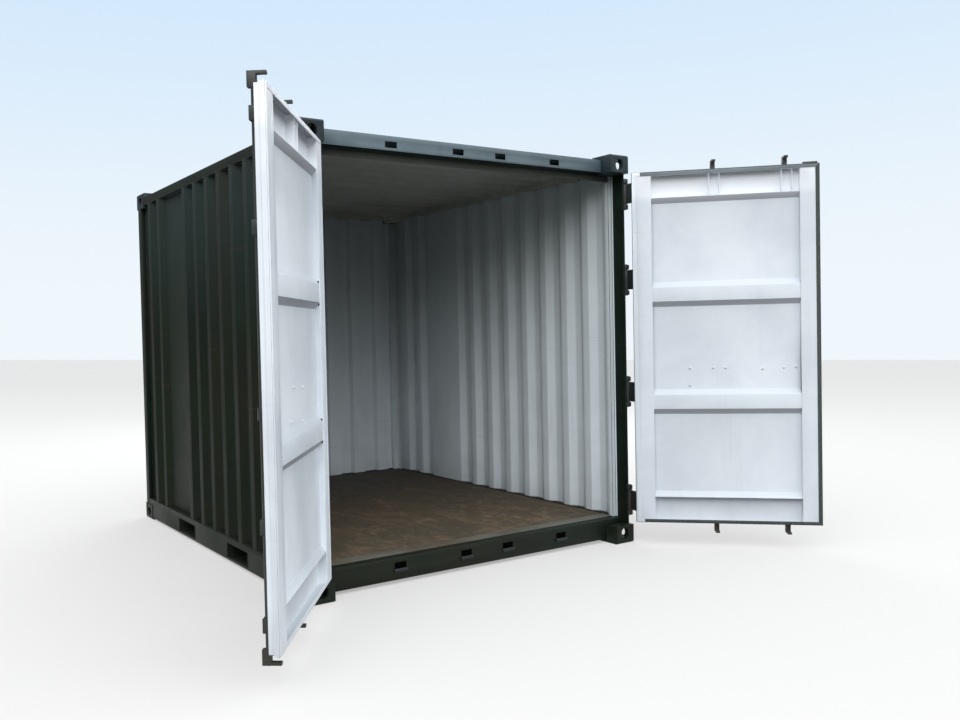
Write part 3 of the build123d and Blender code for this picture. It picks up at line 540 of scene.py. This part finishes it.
def node_copy(node, cuts):
    """A bmesh of a CAD node: triangles merged, flat areas joined, faces split at the cuts."""
    mesh = bmesh.new()
    mesh.from_mesh(frame["nodes"][node].data)
    bmesh.ops.remove_doubles(mesh, verts=mesh.verts, dist=MERGE_DISTANCE)
    bmesh.ops.dissolve_limit(
        mesh, angle_limit=FLAT_ANGLE, verts=mesh.verts, edges=mesh.edges, delimit={"NORMAL"}
    )
    split_at(mesh, cuts)
    return mesh


def round_edges(mesh, wanted, radius):
    """Round only the edges that pass the test, as cast or rolled corners are."""
    edges = [edge for edge in mesh.edges if len(edge.link_faces) == 2 and wanted(edge)]
    bmesh.ops.bevel(
        mesh, geom=edges, offset=radius * MM, offset_type="OFFSET", segments=4,
        profile=0.5, affect="EDGES", clamp_overlap=True,
    )


def new_piece(name, data):
    """Object of that name and mesh in the scene."""
    piece = bpy.data.objects.new(name, data)
    bpy.context.scene.collection.objects.link(piece)
    return piece


def bake(piece):
    """Make what the modifiers give the piece's own mesh."""
    graph = bpy.context.evaluated_depsgraph_get()
    baked = bpy.data.meshes.new_from_object(piece.evaluated_get(graph))
    piece.modifiers.clear()
    piece.data = baked
    baked.name = piece.name
    return baked


def dress(
    node, materials, pick=None, name=None, bevel=1.5, segments=2, cuts=(), late_cuts=(),
    corners=None, radius=8.0, body="container", slot="dark_green_steel",
):
    """A copy that stands for a CAD node, with rounded edges and finishes, set on its body."""
    name = name or f"{node}_steel"
    mesh = node_copy(node, cuts)
    if corners:
        round_edges(mesh, corners, radius)
    data = bpy.data.meshes.new(name)
    mesh.to_mesh(data)
    mesh.free()
    piece = new_piece(name, data)
    modifier = piece.modifiers.new("round_edges", "BEVEL")
    modifier.width = bevel * MM
    modifier.segments = segments
    modifier.limit_method = "ANGLE"
    modifier.angle_limit = ROUNDED_ANGLE
    modifier.use_clamp_overlap = True
    data = bake(piece)
    if late_cuts:
        mesh = bmesh.new()
        mesh.from_mesh(data)
        split_at(mesh, late_cuts)
        mesh.to_mesh(data)
        mesh.free()
    for material in materials:
        data.materials.append(MATERIALS[material])
    if pick:
        for face in data.polygons:
            face.material_index = pick(face.center, face.normal)
    data.shade_smooth()
    data.set_sharp_from_angle(angle=math.radians(38))
    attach(piece, body)
    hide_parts(node)


# Picks: which of a piece's finishes a face gets, from its middle and its normal


def side_wall_face(side):
    """White on the room side of a side wall."""
    return lambda centre, normal: int(normal.y * -side > 0.02)


def end_wall_face(centre, normal):
    """White on the room side of the blind end."""
    return int(normal.x > 0.1)


def roof_face(centre, normal):
    """Dirty white with painted shade on the under side of the roof."""
    return int(normal.z < -0.1)


def top_rail_face(side):
    """Dirty white with painted shade on the rail faces that the room shows and those seen through
    open ribs.
    """

    def pick(centre, normal):
        to_room = normal.y * -side > 0.3
        if centre.z > ROOF_SHEET:
            in_rib = any(start < centre.x < end for start, end in ROOF_RIBS)
            return int(in_rib and centre.z < RIB_TOP and to_room)
        if centre.y * side < SIDE_SHEET:
            return int(to_room or normal.z < -0.3)
        behind_flat = any(abs(centre.x - x) < FLAT_REACH for x in WALL_FLATS)
        return int(normal.z < -0.8 and behind_flat and centre.y * side < RAIL_LIP)

    return pick


def end_rail_face(centre, normal):
    """Dirty white with painted shade on the inner and under side of the rail above the blind end.
    """
    if centre.z > ROOF_SHEET:
        return 0
    return int(normal.x > 0.3 or normal.z < -0.3 and centre.x > END_SHELF)


def end_post_face(centre, normal):
    """White on the hollow side of the end post, green outside."""
    room = Vector((-centre.x, -centre.y, 0))
    outside = centre.x > END_POST_FRONT and abs(centre.y) > SIDE_SHEET
    return int(normal.dot(room) > 0.05 and not outside)


def door_post_face(side):
    """White on the room side of the door post up to the seal, and on the plate's foot beside it."""

    def pick(centre, normal):
        web_x, web_y = SEAL_WEB
        across = centre.y * side
        to_room = normal.y * -side > 0.95
        seal_web = centre.x < web_x and across < web_y and (to_room or normal.x > 0.95)
        on_foot = POST_FOOT_X[0] < centre.x < POST_FOOT_X[1]
        on_foot = on_foot and POST_FOOT_Y[0] < across < POST_FOOT_Y[1]
        return int(seal_web or on_foot and to_room)

    return pick


def top_casting_face(centre, normal):
    """Dirty white with painted shade where a top casting shows in a corner of the room."""
    in_room = ROOM_BACK < centre.x < ROOM_FRONT and centre.z < ROOM_TOP
    to_room = normal.x * centre.x < -0.3 or normal.y * centre.y < -0.3 or normal.z < -0.3
    return int(in_room and to_room and abs(centre.y) < SIDE_SHEET)


def header_face(centre, normal):
    """Face in paint with a painted sky reflection; behind it dirty white with painted shade, a seal
    strip in painted shade and a painted shadow line above the strip.
    """
    if centre.x < HEADER_BACK and normal.x < 0.3 and centre.z < ROOF_SHEET:
        return 1
    if centre.z < STRIP_TOP:
        return 2
    return 3 if centre.z < HEADER_UNDER else 0


def casting_edge(edge):
    """True for the long outer edges of the corner castings."""
    ends = [vert.co for vert in edge.verts]
    if (ends[0] - ends[1]).length < 0.05:
        return False
    levels = CASTING_LOW if ends[0].z < 1.0 else CASTING_HIGH
    held = 0
    for axis, limits in enumerate((CASTING_X, CASTING_Y, levels)):
        values = [abs(end[axis]) for end in ends]
        held += any(all(abs(value - limit) < 0.0002 for value in values) for limit in limits)
    return held == 2 and edge.calc_face_angle(0) > CORNER_ANGLE


def leaf_directions(side):
    """Directions along a leaf from its pin, and through it to the side that faces in when shut."""
    joint = next(j for j in frame["joints"] if j["child"] == f"{dict(SIDES)[side]}_door")
    rest = -math.radians(joint["range_deg"][0])
    angle = -math.pi / 2 + rest if side > 0 else math.pi / 2 - rest
    along = Vector((math.cos(angle), math.sin(angle), 0))
    inward = Vector((math.sin(angle), -math.cos(angle), 0)) * side
    return along, inward


def pin_at(side):
    """Axis of the hinge pins at ground level."""
    return Vector((HINGE_PIN[0], side * HINGE_PIN[1], 0))


def leaf_cuts(side):
    """Planes that part the inside of the leaf frame from what shows outside round the sheet."""
    _, inward = leaf_directions(side)
    cuts = [(pin_at(side) + inward * depth, inward) for depth in (SHEET_DEPTH, RIB_DEPTH)]
    levels = [*CHANNELS_Z] + [z + turn * RIB_REACH for z in RIBS_Z for turn in (-1, 1)]
    return cuts + planes(2, *levels)


def sheet_depth(z):
    """How far the door sheet lies behind the pin at a height."""
    if z < CHANNELS_Z[0] or z > CHANNELS_Z[1]:
        return CHANNEL_DEPTH
    return RIB_DEPTH if any(abs(z - rib) < RIB_REACH for rib in RIBS_Z) else SHEET_DEPTH


def leaf_face(side):
    """White on the inside of a leaf, and on the left leaf also on its free edge."""
    along, inward = leaf_directions(side)
    pin = pin_at(side)

    def pick(centre, normal):
        depth = (centre - pin).dot(inward)
        reach = (centre - pin).dot(along)
        facing = normal.dot(inward)
        if reach > FREE_EDGE:
            return int(side < 0 and facing > -0.5)
        if facing < -0.5 or reach < HINGE_EDGE:
            return 0
        outside_flange = abs(centre.z - CHANNELS_Z[0]) < 0.001 and normal.z > 0.7
        outside_flange |= abs(centre.z - CHANNELS_Z[1]) < 0.001 and normal.z < -0.7
        return int(not outside_flange and depth >= sheet_depth(centre.z))

    return pick


def panel_face(side):
    """White on the side of the door sheet that looks into the room when the door is shut."""
    _, inward = leaf_directions(side)
    return lambda centre, normal: int(normal.dot(inward) > 0)


def gasket_face(side):
    """Overpainted in white on the left leaf where a painter could reach, dusty on the right top."""
    along, inward = leaf_directions(side)
    pin = pin_at(side)

    def pick(centre, normal):
        reach = (centre - pin).dot(along)
        depth = (centre - pin).dot(inward)
        facing = normal.dot(inward)
        if side > 0 and centre.z > TOP_SEAL and reach < SEAL_END:
            return 2
        if side < 0 and (reach > SEAL_FREE or depth > SEAL_SIDE) and facing > -0.5:
            return 1
        return int(depth > SEAL_LIP and reach < SEAL_START and facing > 0.5)

    return pick


def leaf_corner(side):
    """True for the short edges across the leaf at its outer corners."""
    _, inward = leaf_directions(side)

    def wanted(edge):
        run = edge.verts[1].co - edge.verts[0].co
        level = edge.verts[0].co.z
        across = abs(run.normalized().dot(inward)) > 0.99
        at_corner = level < CORNERS_Z[0] or level > CORNERS_Z[1]
        return across and at_corner and edge.calc_face_angle(0) > CORNER_ANGLE

    return wanted


# Settings and steps


class ContainerPaint(bpy.types.PropertyGroup):
    """Colours of the paint."""

    green: FloatVectorProperty(
        name="Outside green", description="Dark base of the outside paint", subtype="COLOR",
        default=rgb(6, 16, 6)[:3], min=0.0, max=1.0,
    )
    chalk: FloatVectorProperty(
        name="Chalked green", description="Weathered outside paint", subtype="COLOR",
        default=rgb(14, 28, 13)[:3], min=0.0, max=1.0,
    )
    white: FloatVectorProperty(
        name="Inside white", description="Paint of the walls of the cargo room", subtype="COLOR",
        default=rgb(238, 246, 250)[:3], min=0.0, max=1.0,
    )
    white_shade: FloatVectorProperty(
        name="Dull white", description="Older patches of the white paint", subtype="COLOR",
        default=rgb(226, 234, 239)[:3], min=0.0, max=1.0,
    )


class ContainerSizes(bpy.types.PropertyGroup):
    """Sizes of the rounded edges."""

    casting_round: FloatProperty(
        name="Casting edges", description="Rounding of the cast corners in millimetres",
        default=16.0, min=0.2, max=18.0,
    )
    sheet_round: FloatProperty(
        name="Sheet bends", description="Rounding of bent sheet in millimetres",
        default=0.9, min=0.1, max=3.0,
    )


class CONTAINER_OT_castings(bpy.types.Operator):
    """Corner castings with soft cast edges"""

    bl_idname = "container.castings"
    bl_label = "Corner castings"

    def execute(self, context):
        rounding = {
            "bevel": 2.0, "corners": casting_edge,
            "radius": context.scene.container_sizes.casting_round,
        }
        cuts = planes(0, ROOM_BACK, ROOM_FRONT) + planes(2, ROOM_TOP)
        cuts += planes(1, SIDE_SHEET, -SIDE_SHEET)
        dress("bottom_corner_castings", ["rail_paint"], name="bottom_castings_steel", **rounding)
        dress(
            "top_corner_castings", ["casting_paint", "ceiling_white_dirt_and_painted_shade"], pick=top_casting_face,
            name="top_castings_steel", late_cuts=cuts, **rounding,
        )
        return {"FINISHED"}


class CONTAINER_OT_frame(bpy.types.Operator):
    """Rails, posts, header and sill"""

    bl_idname = "container.frame"
    bl_label = "Steel frame"

    def execute(self, context):
        paints = ["rail_paint", "wall_white_with_painted_shade"]
        roof_paints = ["rail_paint", "ceiling_white_dirt_and_painted_shade"]
        flat_ends = [x + turn * FLAT_REACH for x in WALL_FLATS for turn in (-1, 1)]
        rib_ends = [x for ends in ROOF_RIBS for x in ends]
        for side, word in SIDES:
            at_sheet = planes(1, side * SIDE_SHEET)
            rail_cuts = at_sheet + planes(2, ROOF_SHEET) + planes(0, *flat_ends, *rib_ends)
            rail_cuts += planes(2, RIB_TOP)
            dress(f"{word}_bottom_rail", ["rail_paint"], bevel=2.5)
            dress(
                f"{word}_top_rail", roof_paints, pick=top_rail_face(side),
                bevel=4.0, segments=3, late_cuts=rail_cuts,
            )
            dress(f"{word}_end_post", paints, pick=end_post_face, bevel=2.0, cuts=at_sheet)
            dress(
                f"{word}_door_post", paints, pick=door_post_face(side),
                bevel=2.0, late_cuts=planes(0, POST_FOOT_X[1]),
            )
        dress(
            "end_top_rail", roof_paints, pick=end_rail_face,
            bevel=4.0, segments=3, late_cuts=planes(0, END_SHELF) + planes(2, ROOF_SHEET),
        )
        dress("end_bottom_rail", ["rail_paint"], bevel=2.5)
        # Under the header face: a strip in painted shade and a painted shadow line in the rail
        # paint.
        dress(
            "header", ["header_paint_with_painted_sheen", "ceiling_white_dirt_and_painted_shade", "seal_strip_painted_shade", "rail_paint"],
            pick=header_face, bevel=2.0, late_cuts=planes(2, ROOF_SHEET, STRIP_TOP),
        )
        dress("sill", ["rail_paint"], bevel=2.0)
        # The keepers take the lighter casting paint so that their tops look lit: a painted
        # highlight.
        dress("sill_keepers", ["casting_paint"], name="sill_keeper_blocks", bevel=3.5, segments=3)
        for node in ("cross_members", "fork_pockets"):
            dress(node, ["rail_paint"], bevel=1.0)
        return {"FINISHED"}


class CONTAINER_OT_walls(bpy.types.Operator):
    """Corrugated side walls, end wall and roof"""

    bl_idname = "container.walls"
    bl_label = "Walls and roof"

    def execute(self, context):
        size = context.scene.container_sizes.sheet_round
        sheets = {
            "right_side_wall": ("wall_white_with_painted_shade", side_wall_face(1)),
            "left_side_wall": ("wall_white_with_painted_shade", side_wall_face(-1)),
            "end_wall": ("wall_white_with_painted_shade", end_wall_face),
            "roof_sheet": ("ceiling_white_dirt_and_painted_shade", roof_face),
        }
        for node, (inner, pick) in sheets.items():
            paints = ["dark_green_paint", inner]
            dress(node, paints, pick=pick, name=f"{node}_sheet", bevel=size)
        return {"FINISHED"}


class CONTAINER_OT_floor(bpy.types.Operator):
    """Plywood floor and threshold plate"""

    bl_idname = "container.floor"
    bl_label = "Floor"

    def execute(self, context):
        dress("plywood_floor", ["plywood"], name="plywood_floor_boards", bevel=1.0, slot="plywood")
        dress("threshold_plate", ["threshold_steel"], bevel=1.0, slot="worn_steel")
        return {"FINISHED"}


class CONTAINER_OT_doors(bpy.types.Operator):
    """Door leaves, seals and hinge blades"""

    bl_idname = "container.doors"
    bl_label = "Doors"

    def execute(self, context):
        for side, word in SIDES:
            body = f"{word}_door"
            along, _ = leaf_directions(side)
            white = f"{word}_door_white_with_painted_light_and_shade"
            paints = ["dark_green_paint", white]
            corners = leaf_corner(side)
            dress(
                f"{word}_door_frame", paints, pick=leaf_face(side), bevel=1.6, corners=corners,
                radius=6.0, late_cuts=leaf_cuts(side), body=body, slot="white_steel",
            )
            dress(
                f"{word}_door_panel", paints, pick=panel_face(side), bevel=1.6,
                body=body, slot="white_steel",
            )
            dress(
                f"{word}_door_gasket", ["seal_rubber", white, "dusty_rubber"],
                pick=gasket_face(side), name=f"{word}_door_gasket_rubber", bevel=0.5,
                cuts=[(pin_at(side) + along * SEAL_START, along)], corners=corners, radius=12.0,
                body=body, slot="seal_rubber",
            )
            for part, holder in (("blade", body), ("lug", "container")):
                name = f"{word}_hinge_{part}"
                dress(f"{name}s", ["gear_paint"], name=f"{name}_steel", body=holder)
        return {"FINISHED"}


class CONTAINER_OT_locks(bpy.types.Operator):
    """Locking rods, handles and guides"""

    bl_idname = "container.locks"
    bl_label = "Locking gear"

    def execute(self, context):
        for _, word in SIDES:
            guides = f"{word}_rod_guide"
            dress(f"{guides}s", ["gear_paint"], name=f"{guides}_steel", body=f"{word}_door")
            for place in ("outer", "inner"):
                for part in ("rod", "handle"):
                    dress(f"{word}_{place}_{part}", ["gear_paint"], body=f"{word}_{place}_lock")
        dress("overlap_plate", ["gear_paint"], body="right_door")
        return {"FINISHED"}


# Small parts that repeat: heads of rivets, bolts and screws, and weld beads


def node_tree(name, inputs):
    """Empty Geometry Nodes tree with named inputs and a geometry output."""
    tree = bpy.data.node_groups.new(name, "GeometryNodeTree")
    tree.interface.new_socket("Geometry", in_out="INPUT", socket_type="NodeSocketGeometry")
    for label, kind in inputs:
        tree.interface.new_socket(label, in_out="INPUT", socket_type=kind)
    tree.interface.new_socket("Geometry", in_out="OUTPUT", socket_type="NodeSocketGeometry")
    t = Tree(tree)
    return tree, t, t.add("NodeGroupInput"), t.add("NodeGroupOutput")


def heads_tree():
    """A domed or six-sided head on every point, all turned the same way."""
    tree, t, source, sink = node_tree(
        "fastener_heads",
        [
            ("Radius", "NodeSocketFloat"),
            ("Height", "NodeSocketFloat"),
            ("Turn", "NodeSocketVector"),
            ("Six sides", "NodeSocketBool"),
            ("Finish", "NodeSocketMaterial"),
        ],
    )
    dome = t.add("GeometryNodeMeshUVSphere", Segments=12, Rings=8, Radius=1.0)
    hexagon = t.add("GeometryNodeMeshCylinder", Vertices=6, Radius=1.0, Depth=2.0)
    shape = t.add("GeometryNodeSwitch", input_type="GEOMETRY")
    t.put(shape, "Switch", source.outputs["Six sides"])
    t.put(shape, "False", dome.outputs["Mesh"])
    t.put(shape, "True", hexagon.outputs["Mesh"])
    radius = source.outputs["Radius"]
    size = t.add("ShaderNodeCombineXYZ", X=radius, Y=radius, Z=source.outputs["Height"])
    place = t.add(
        "GeometryNodeInstanceOnPoints", Points=source.outputs["Geometry"],
        Instance=shape.outputs["Output"], Rotation=source.outputs["Turn"], Scale=size.outputs[0],
    )
    real = t.add("GeometryNodeRealizeInstances", Geometry=place.outputs["Instances"])
    finish = t.add(
        "GeometryNodeSetMaterial", Geometry=real.outputs["Geometry"],
        Material=source.outputs["Finish"],
    )
    t.put(sink, "Geometry", finish.outputs["Geometry"])
    return tree


def beads_tree():
    """A lumpy weld bead along every chain of edges."""
    tree, t, source, sink = node_tree(
        "weld_beads",
        [
            ("Radius", "NodeSocketFloat"),
            ("Step", "NodeSocketFloat"),
            ("Lumps", "NodeSocketFloat"),
            ("Seed", "NodeSocketFloat"),
            ("Finish", "NodeSocketMaterial"),
        ],
    )
    curve = t.add("GeometryNodeMeshToCurve", Mesh=source.outputs["Geometry"])
    even = t.add(
        "GeometryNodeResampleCurve", mode="LENGTH", Curve=curve.outputs["Curve"],
        Length=source.outputs["Step"],
    )
    grain = t.add(
        "ShaderNodeTexNoise", noise_dimensions="4D", Scale=90.0, W=source.outputs["Seed"]
    )
    swell = t.maths("SUBTRACT", grain.outputs["Fac"], 0.5)
    swell = t.maths("MULTIPLY", swell, source.outputs["Lumps"])
    radius = t.add(
        "GeometryNodeSetCurveRadius", Curve=even.outputs["Curve"], Radius=t.maths("ADD", swell, 1.0)
    )
    ring = t.add(
        "GeometryNodeCurvePrimitiveCircle", Resolution=6, Radius=source.outputs["Radius"]
    )
    tube = t.add(
        "GeometryNodeCurveToMesh", Curve=radius.outputs["Curve"],
        Profile_Curve=ring.outputs["Curve"], Fill_Caps=True,
    )
    finish = t.add(
        "GeometryNodeSetMaterial", Geometry=tube.outputs["Mesh"], Material=source.outputs["Finish"]
    )
    t.put(sink, "Geometry", finish.outputs["Geometry"])
    return tree


TREES = {}


def grow(name, points, edges, maker, values, body):
    """Grow a Geometry Nodes piece on points or edges, bake it and set it on its body."""
    if maker not in TREES:
        TREES[maker] = maker()
    tree = TREES[maker]
    data = bpy.data.meshes.new(name)
    data.from_pydata([tuple(point) for point in points], edges, [])
    piece = new_piece(name, data)
    modifier = piece.modifiers.new("grow", "NODES")
    modifier.node_group = tree
    for item in tree.interface.items_tree:
        if item.item_type == "SOCKET" and item.in_out == "INPUT" and item.name in values:
            modifier[item.identifier] = values[item.name]
    baked = bake(piece)
    if not baked.polygons:
        raise RuntimeError(f"{name} came out empty")
    baked.shade_smooth()
    baked.set_sharp_from_angle(angle=math.radians(40))
    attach(piece, body)


def heads(name, points, radius, height, turn, finish, body, six_sides=False):
    """Heads of one size and finish on points."""
    values = {
        "Radius": radius, "Height": height, "Turn": turn, "Six sides": six_sides,
        "Finish": MATERIALS[finish],
    }
    grow(name, points, [], heads_tree, values, body)


def turn_to(axis):
    """Euler angles that stand the heads along an axis."""
    return list(Vector(axis).to_track_quat("Z", "Y").to_euler())


def leaf_points(side, places):
    """Points from (u, n, z) places on a leaf: along it, behind the pin and up, in millimetres."""
    along, inward = leaf_directions(side)
    pin = pin_at(side)
    return [
        pin + along * (u * MM) + inward * (n * MM) + Vector((0, 0, z * MM)) for u, n, z in places
    ]


def outer_line(node, axis, levels, low):
    """Points of a corrugated sheet's outer face along its lower or upper edge, in order."""
    verts = [vertex.co for vertex in frame["nodes"][node].data.vertices]
    height = min(v.z for v in verts) if low else max(v.z for v in verts)
    edge = [v for v in verts if abs(v.z - height) < 0.0001]
    edge = [v for v in edge if any(abs(abs(v[axis]) - level) < 0.0003 for level in levels)]
    found = {(round(v.x, 4), round(v.y, 4)): v for v in edge}
    return [Vector(v) for v in sorted(found.values(), key=lambda v: v[1 - axis])]


def chain(lines):
    """Points and edges of several open lines."""
    points = []
    edges = []
    for line in lines:
        start = len(points)
        points += line
        edges += [(start + i, start + i + 1) for i in range(len(line) - 1)]
    return points, edges


def guide_places(side):
    """Middles of the rod guides on a leaf, as (u, n, z)."""
    places = []
    for from_middle in ROD_FROM_MIDDLE[side]:
        u = PIN_FROM_MIDDLE - from_middle
        for z in GUIDES_Z:
            on_frame = z in (GUIDES_Z[0], GUIDES_Z[-1]) or u > FREE_STILE
            places.append((u, GUIDE_FACES[0] if on_frame else GUIDE_FACES[1], z))
    return places


class CONTAINER_OT_fasteners(bpy.types.Operator):
    """Rivets, bolts and floor screws"""

    bl_idname = "container.fasteners"
    bl_label = "Bolts, rivets and screws"

    def execute(self, context):
        for side, word in SIDES:
            body = f"{word}_door"
            _, inward = leaf_directions(side)
            inside, outside = turn_to(inward), turn_to(-inward)
            rivets = leaf_points(side, [(u, RIVET_FACE, z) for u, z in PANEL_RIVETS[side]])
            tails = leaf_points(side, [(u, TAIL_FACE, z) for u, z in PANEL_RIVETS[side]])
            bolts = [
                (u, STILE_FACE, z + dz)
                for u in HINGE_BOLTS_U for z in HINGES_Z for dz in HINGE_BOLTS_DZ
            ]
            bolts += [
                (u + du, face, z + dz)
                for u, face, z in guide_places(side) for du, dz in GUIDE_BOLTS
            ]
            heads(
                f"{word}_panel_rivets", rivets, 0.010, 0.0045, inside,
                f"{word}_door_white_with_painted_light_and_shade", body,
            )
            heads(
                f"{word}_rivet_tails", tails, 0.011, 0.005, outside,
                "dark_green_paint", body,
            )
            heads(
                f"{word}_door_bolts", leaf_points(side, bolts), 0.008, 0.005, outside,
                "gear_paint", body, six_sides=True,
            )
        screws = [Vector((x, y, FLOOR_TOP)) for x in MEMBERS_X for y in SCREWS_Y]
        heads(
            "floor_screws", screws, 0.0065, 0.0007, [0.0, 0.0, 0.0],
            "threshold_steel", "container",
        )
        return {"FINISHED"}


class CONTAINER_OT_welds(bpy.types.Operator):
    """Weld beads where sheets, rails, posts and castings meet"""

    bl_idname = "container.welds"
    bl_label = "Weld beads"

    def execute(self, context):
        lines = []
        low_z, high_z = POCKET_Z
        for side, word in SIDES:
            for low in (True, False):
                lines.append(outer_line(f"{word}_side_wall", 1, (WALL_FACE, SIDE_SHEET), low))
            for z in (CASTING_LOW[1], CASTING_HIGH[0]):
                lines.append([Vector((x, side * WALL_FACE, z)) for x in DOOR_POST_X])
                lines.append([Vector((x, side * y, z)) for x, y in END_POST_BEND])
            for middle in POCKETS_X:
                near, far = middle - POCKET_REACH, middle + POCKET_REACH
                ring = ((near, low_z), (near, high_z), (far, high_z), (far, low_z), (near, low_z))
                lines.append([Vector((x, side * WALL_FACE, z)) for x, z in ring])
            for ends in HEADER_ENDS:
                lines.append([Vector((HEADER_FACE, side * CASTING_Y[1], z)) for z in ends])
        for low in (True, False):
            lines.append(outer_line("end_wall", 0, (END_FACE, END_SHEET), low))
        points, edges = chain(lines)
        values = {
            "Radius": 0.0024, "Step": 0.006, "Lumps": 0.9, "Seed": 3.0,
            "Finish": MATERIALS["rail_paint"],
        }
        grow(
            "container_weld_beads", points, edges, beads_tree, values,
            "container",
        )
        return {"FINISHED"}


# Stage


def area_lamp(name, place, aim, power, colour):
    """Soft square lamp, 5 m wide, that looks at a point."""
    lamp = bpy.data.lights.new(name, "AREA")
    lamp.shape = "RECTANGLE"
    lamp.size = lamp.size_y = 5.0
    lamp.energy = power
    lamp.color = colour
    holder = new_piece(name, lamp)
    holder.location = place
    holder.rotation_euler = (Vector(aim) - Vector(place)).to_track_quat("-Z", "Y").to_euler()


def stage_floor():
    """Bright ground that ends at the photograph's horizon; little of it lights the container."""
    floor = bpy.data.meshes.new("stage_floor")
    corners = [STAGE_ACROSS * x + STAGE_AWAY * y for x, y in STAGE_CORNERS]
    floor.from_pydata(corners, [], [(0, 1, 2, 3)])
    ground = new_piece("stage_floor", floor)
    t, shader, coords = start_material("stage_floor_paint")
    path = t.add("ShaderNodeLightPath")
    seen = t.maths("MAXIMUM", path.outputs["Is Camera Ray"], path.outputs["Is Glossy Ray"])
    seen = t.maths("MAXIMUM", seen, path.outputs["Is Transmission Ray"])
    colour = t.mix(seen, (0.07, 0.072, 0.072, 1.0), (0.325, 0.32, 0.312, 1.0))
    t.put(shader, "Base Color", colour)
    t.put(shader, "Roughness", 0.9)
    t.put(shader, "Specular IOR Level", 0.0)
    t.put(shader, "Emission Color", (1.0, 0.99, 0.98, 1.0))
    split = t.add("ShaderNodeSeparateXYZ", Vector=coords)
    toward = t.maths("SUBTRACT", split.outputs["X"], split.outputs["Y"])
    glow = t.maths("MULTIPLY", seen, t.ramp(toward, -30.0, 6.0, 0.26, 0.41))
    t.put(shader, "Emission Strength", glow)
    floor.materials.append(MATERIALS["stage_floor_paint"])


def soft_sky(scene):
    """Sky with a pale look, whose light comes from above and from beyond the doors."""
    world = bpy.data.worlds.new("soft_sky")
    scene.world = world
    world.use_nodes = True
    world.node_tree.nodes.clear()
    t = Tree(world.node_tree)
    direction = t.add("ShaderNodeTexCoord").outputs["Generated"]
    height = t.add("ShaderNodeSeparateXYZ", Vector=direction).outputs["Z"]
    shown = t.mix(t.ramp(height, 0.0, 0.45), rgb(240, 247, 252), rgb(206, 230, 252))
    ahead = t.add("ShaderNodeVectorMath", operation="DOT_PRODUCT")
    t.put(ahead, 0, direction)
    t.put(ahead, 1, (0.86, -0.16, 0.48))
    glow = t.ramp(ahead.outputs["Value"], -0.1, 0.95, 1.2, 2.9)
    glow = t.maths("MULTIPLY", glow, t.ramp(height, 0.1, 0.58, 0.1, 1.12))
    path = t.add("ShaderNodeLightPath")
    seen = t.maths("MAXIMUM", path.outputs["Is Camera Ray"], path.outputs["Is Transmission Ray"])
    unseen = t.maths("MULTIPLY", t.maths("SUBTRACT", 1.0, seen), glow)
    back = t.add("ShaderNodeBackground")
    t.put(back, "Color", t.mix(seen, rgb(236, 240, 244), shown))
    t.put(back, "Strength", t.maths("ADD", seen, unseen))
    out = t.add("ShaderNodeOutputWorld")
    t.put(out, "Surface", back.outputs[0])


class CONTAINER_OT_stage(bpy.types.Operator):
    """Floor, sky light, lamps and camera"""

    bl_idname = "container.stage"
    bl_label = "Stage"

    def execute(self, context):
        scene = context.scene
        scene.view_settings.view_transform = "Standard"
        stage_floor()
        soft_sky(scene)
        area_lamp("rear_lamp", (-6.5, 4.5, 5.0), (0.0, 0.0, 1.2), 260.0, (0.95, 0.98, 1.0))
        area_lamp("key_lamp", (6.5, -5.5, 6.0), (0.5, 0.0, 1.2), 160.0, (1.0, 0.98, 0.95))

        camera = bpy.data.cameras.new("camera")
        camera.sensor_width = 36.0
        camera.lens = LENS
        camera.shift_x, camera.shift_y = LENS_SHIFT
        camera.clip_end = 300.0
        holder = new_piece("camera", camera)
        holder.location = CAMERA_PLACE
        holder.rotation_euler = [math.radians(angle) for angle in CAMERA_TURN]
        scene.camera = holder
        return {"FINISHED"}


class CONTAINER_PT_panel(bpy.types.Panel):
    """Lists the steps in the sidebar"""

    bl_idname = "CONTAINER_PT_panel"
    bl_label = "Freight container"
    bl_space_type = "VIEW_3D"
    bl_region_type = "UI"
    bl_category = "Container"

    def draw(self, context):
        for name in ("green", "chalk", "white", "white_shade"):
            self.layout.prop(context.scene.container_paint, name)
        for name in ("casting_round", "sheet_round"):
            self.layout.prop(context.scene.container_sizes, name)
        for step in STEPS:
            self.layout.operator(step.bl_idname)


STEPS = (
    CONTAINER_OT_castings,
    CONTAINER_OT_frame,
    CONTAINER_OT_walls,
    CONTAINER_OT_floor,
    CONTAINER_OT_doors,
    CONTAINER_OT_locks,
    CONTAINER_OT_fasteners,
    CONTAINER_OT_welds,
    CONTAINER_OT_stage,
)
CLASSES = (ContainerPaint, ContainerSizes, *STEPS, CONTAINER_PT_panel)


def register():
    """Register the classes and their settings."""
    for cls in CLASSES:
        bpy.utils.register_class(cls)
    bpy.types.Scene.container_paint = PointerProperty(type=ContainerPaint)
    bpy.types.Scene.container_sizes = PointerProperty(type=ContainerSizes)


def unregister():
    """Remove the classes and their settings."""
    del bpy.types.Scene.container_sizes
    del bpy.types.Scene.container_paint
    for cls in reversed(CLASSES):
        bpy.utils.unregister_class(cls)


def main():
    """Dress the container and set the stage."""
    register()
    make_materials(bpy.context.scene.container_paint)
    for step in STEPS:
        group, name = step.bl_idname.split(".")
        getattr(getattr(bpy.ops, group), name)()


if __name__ == "__main__":
    main()
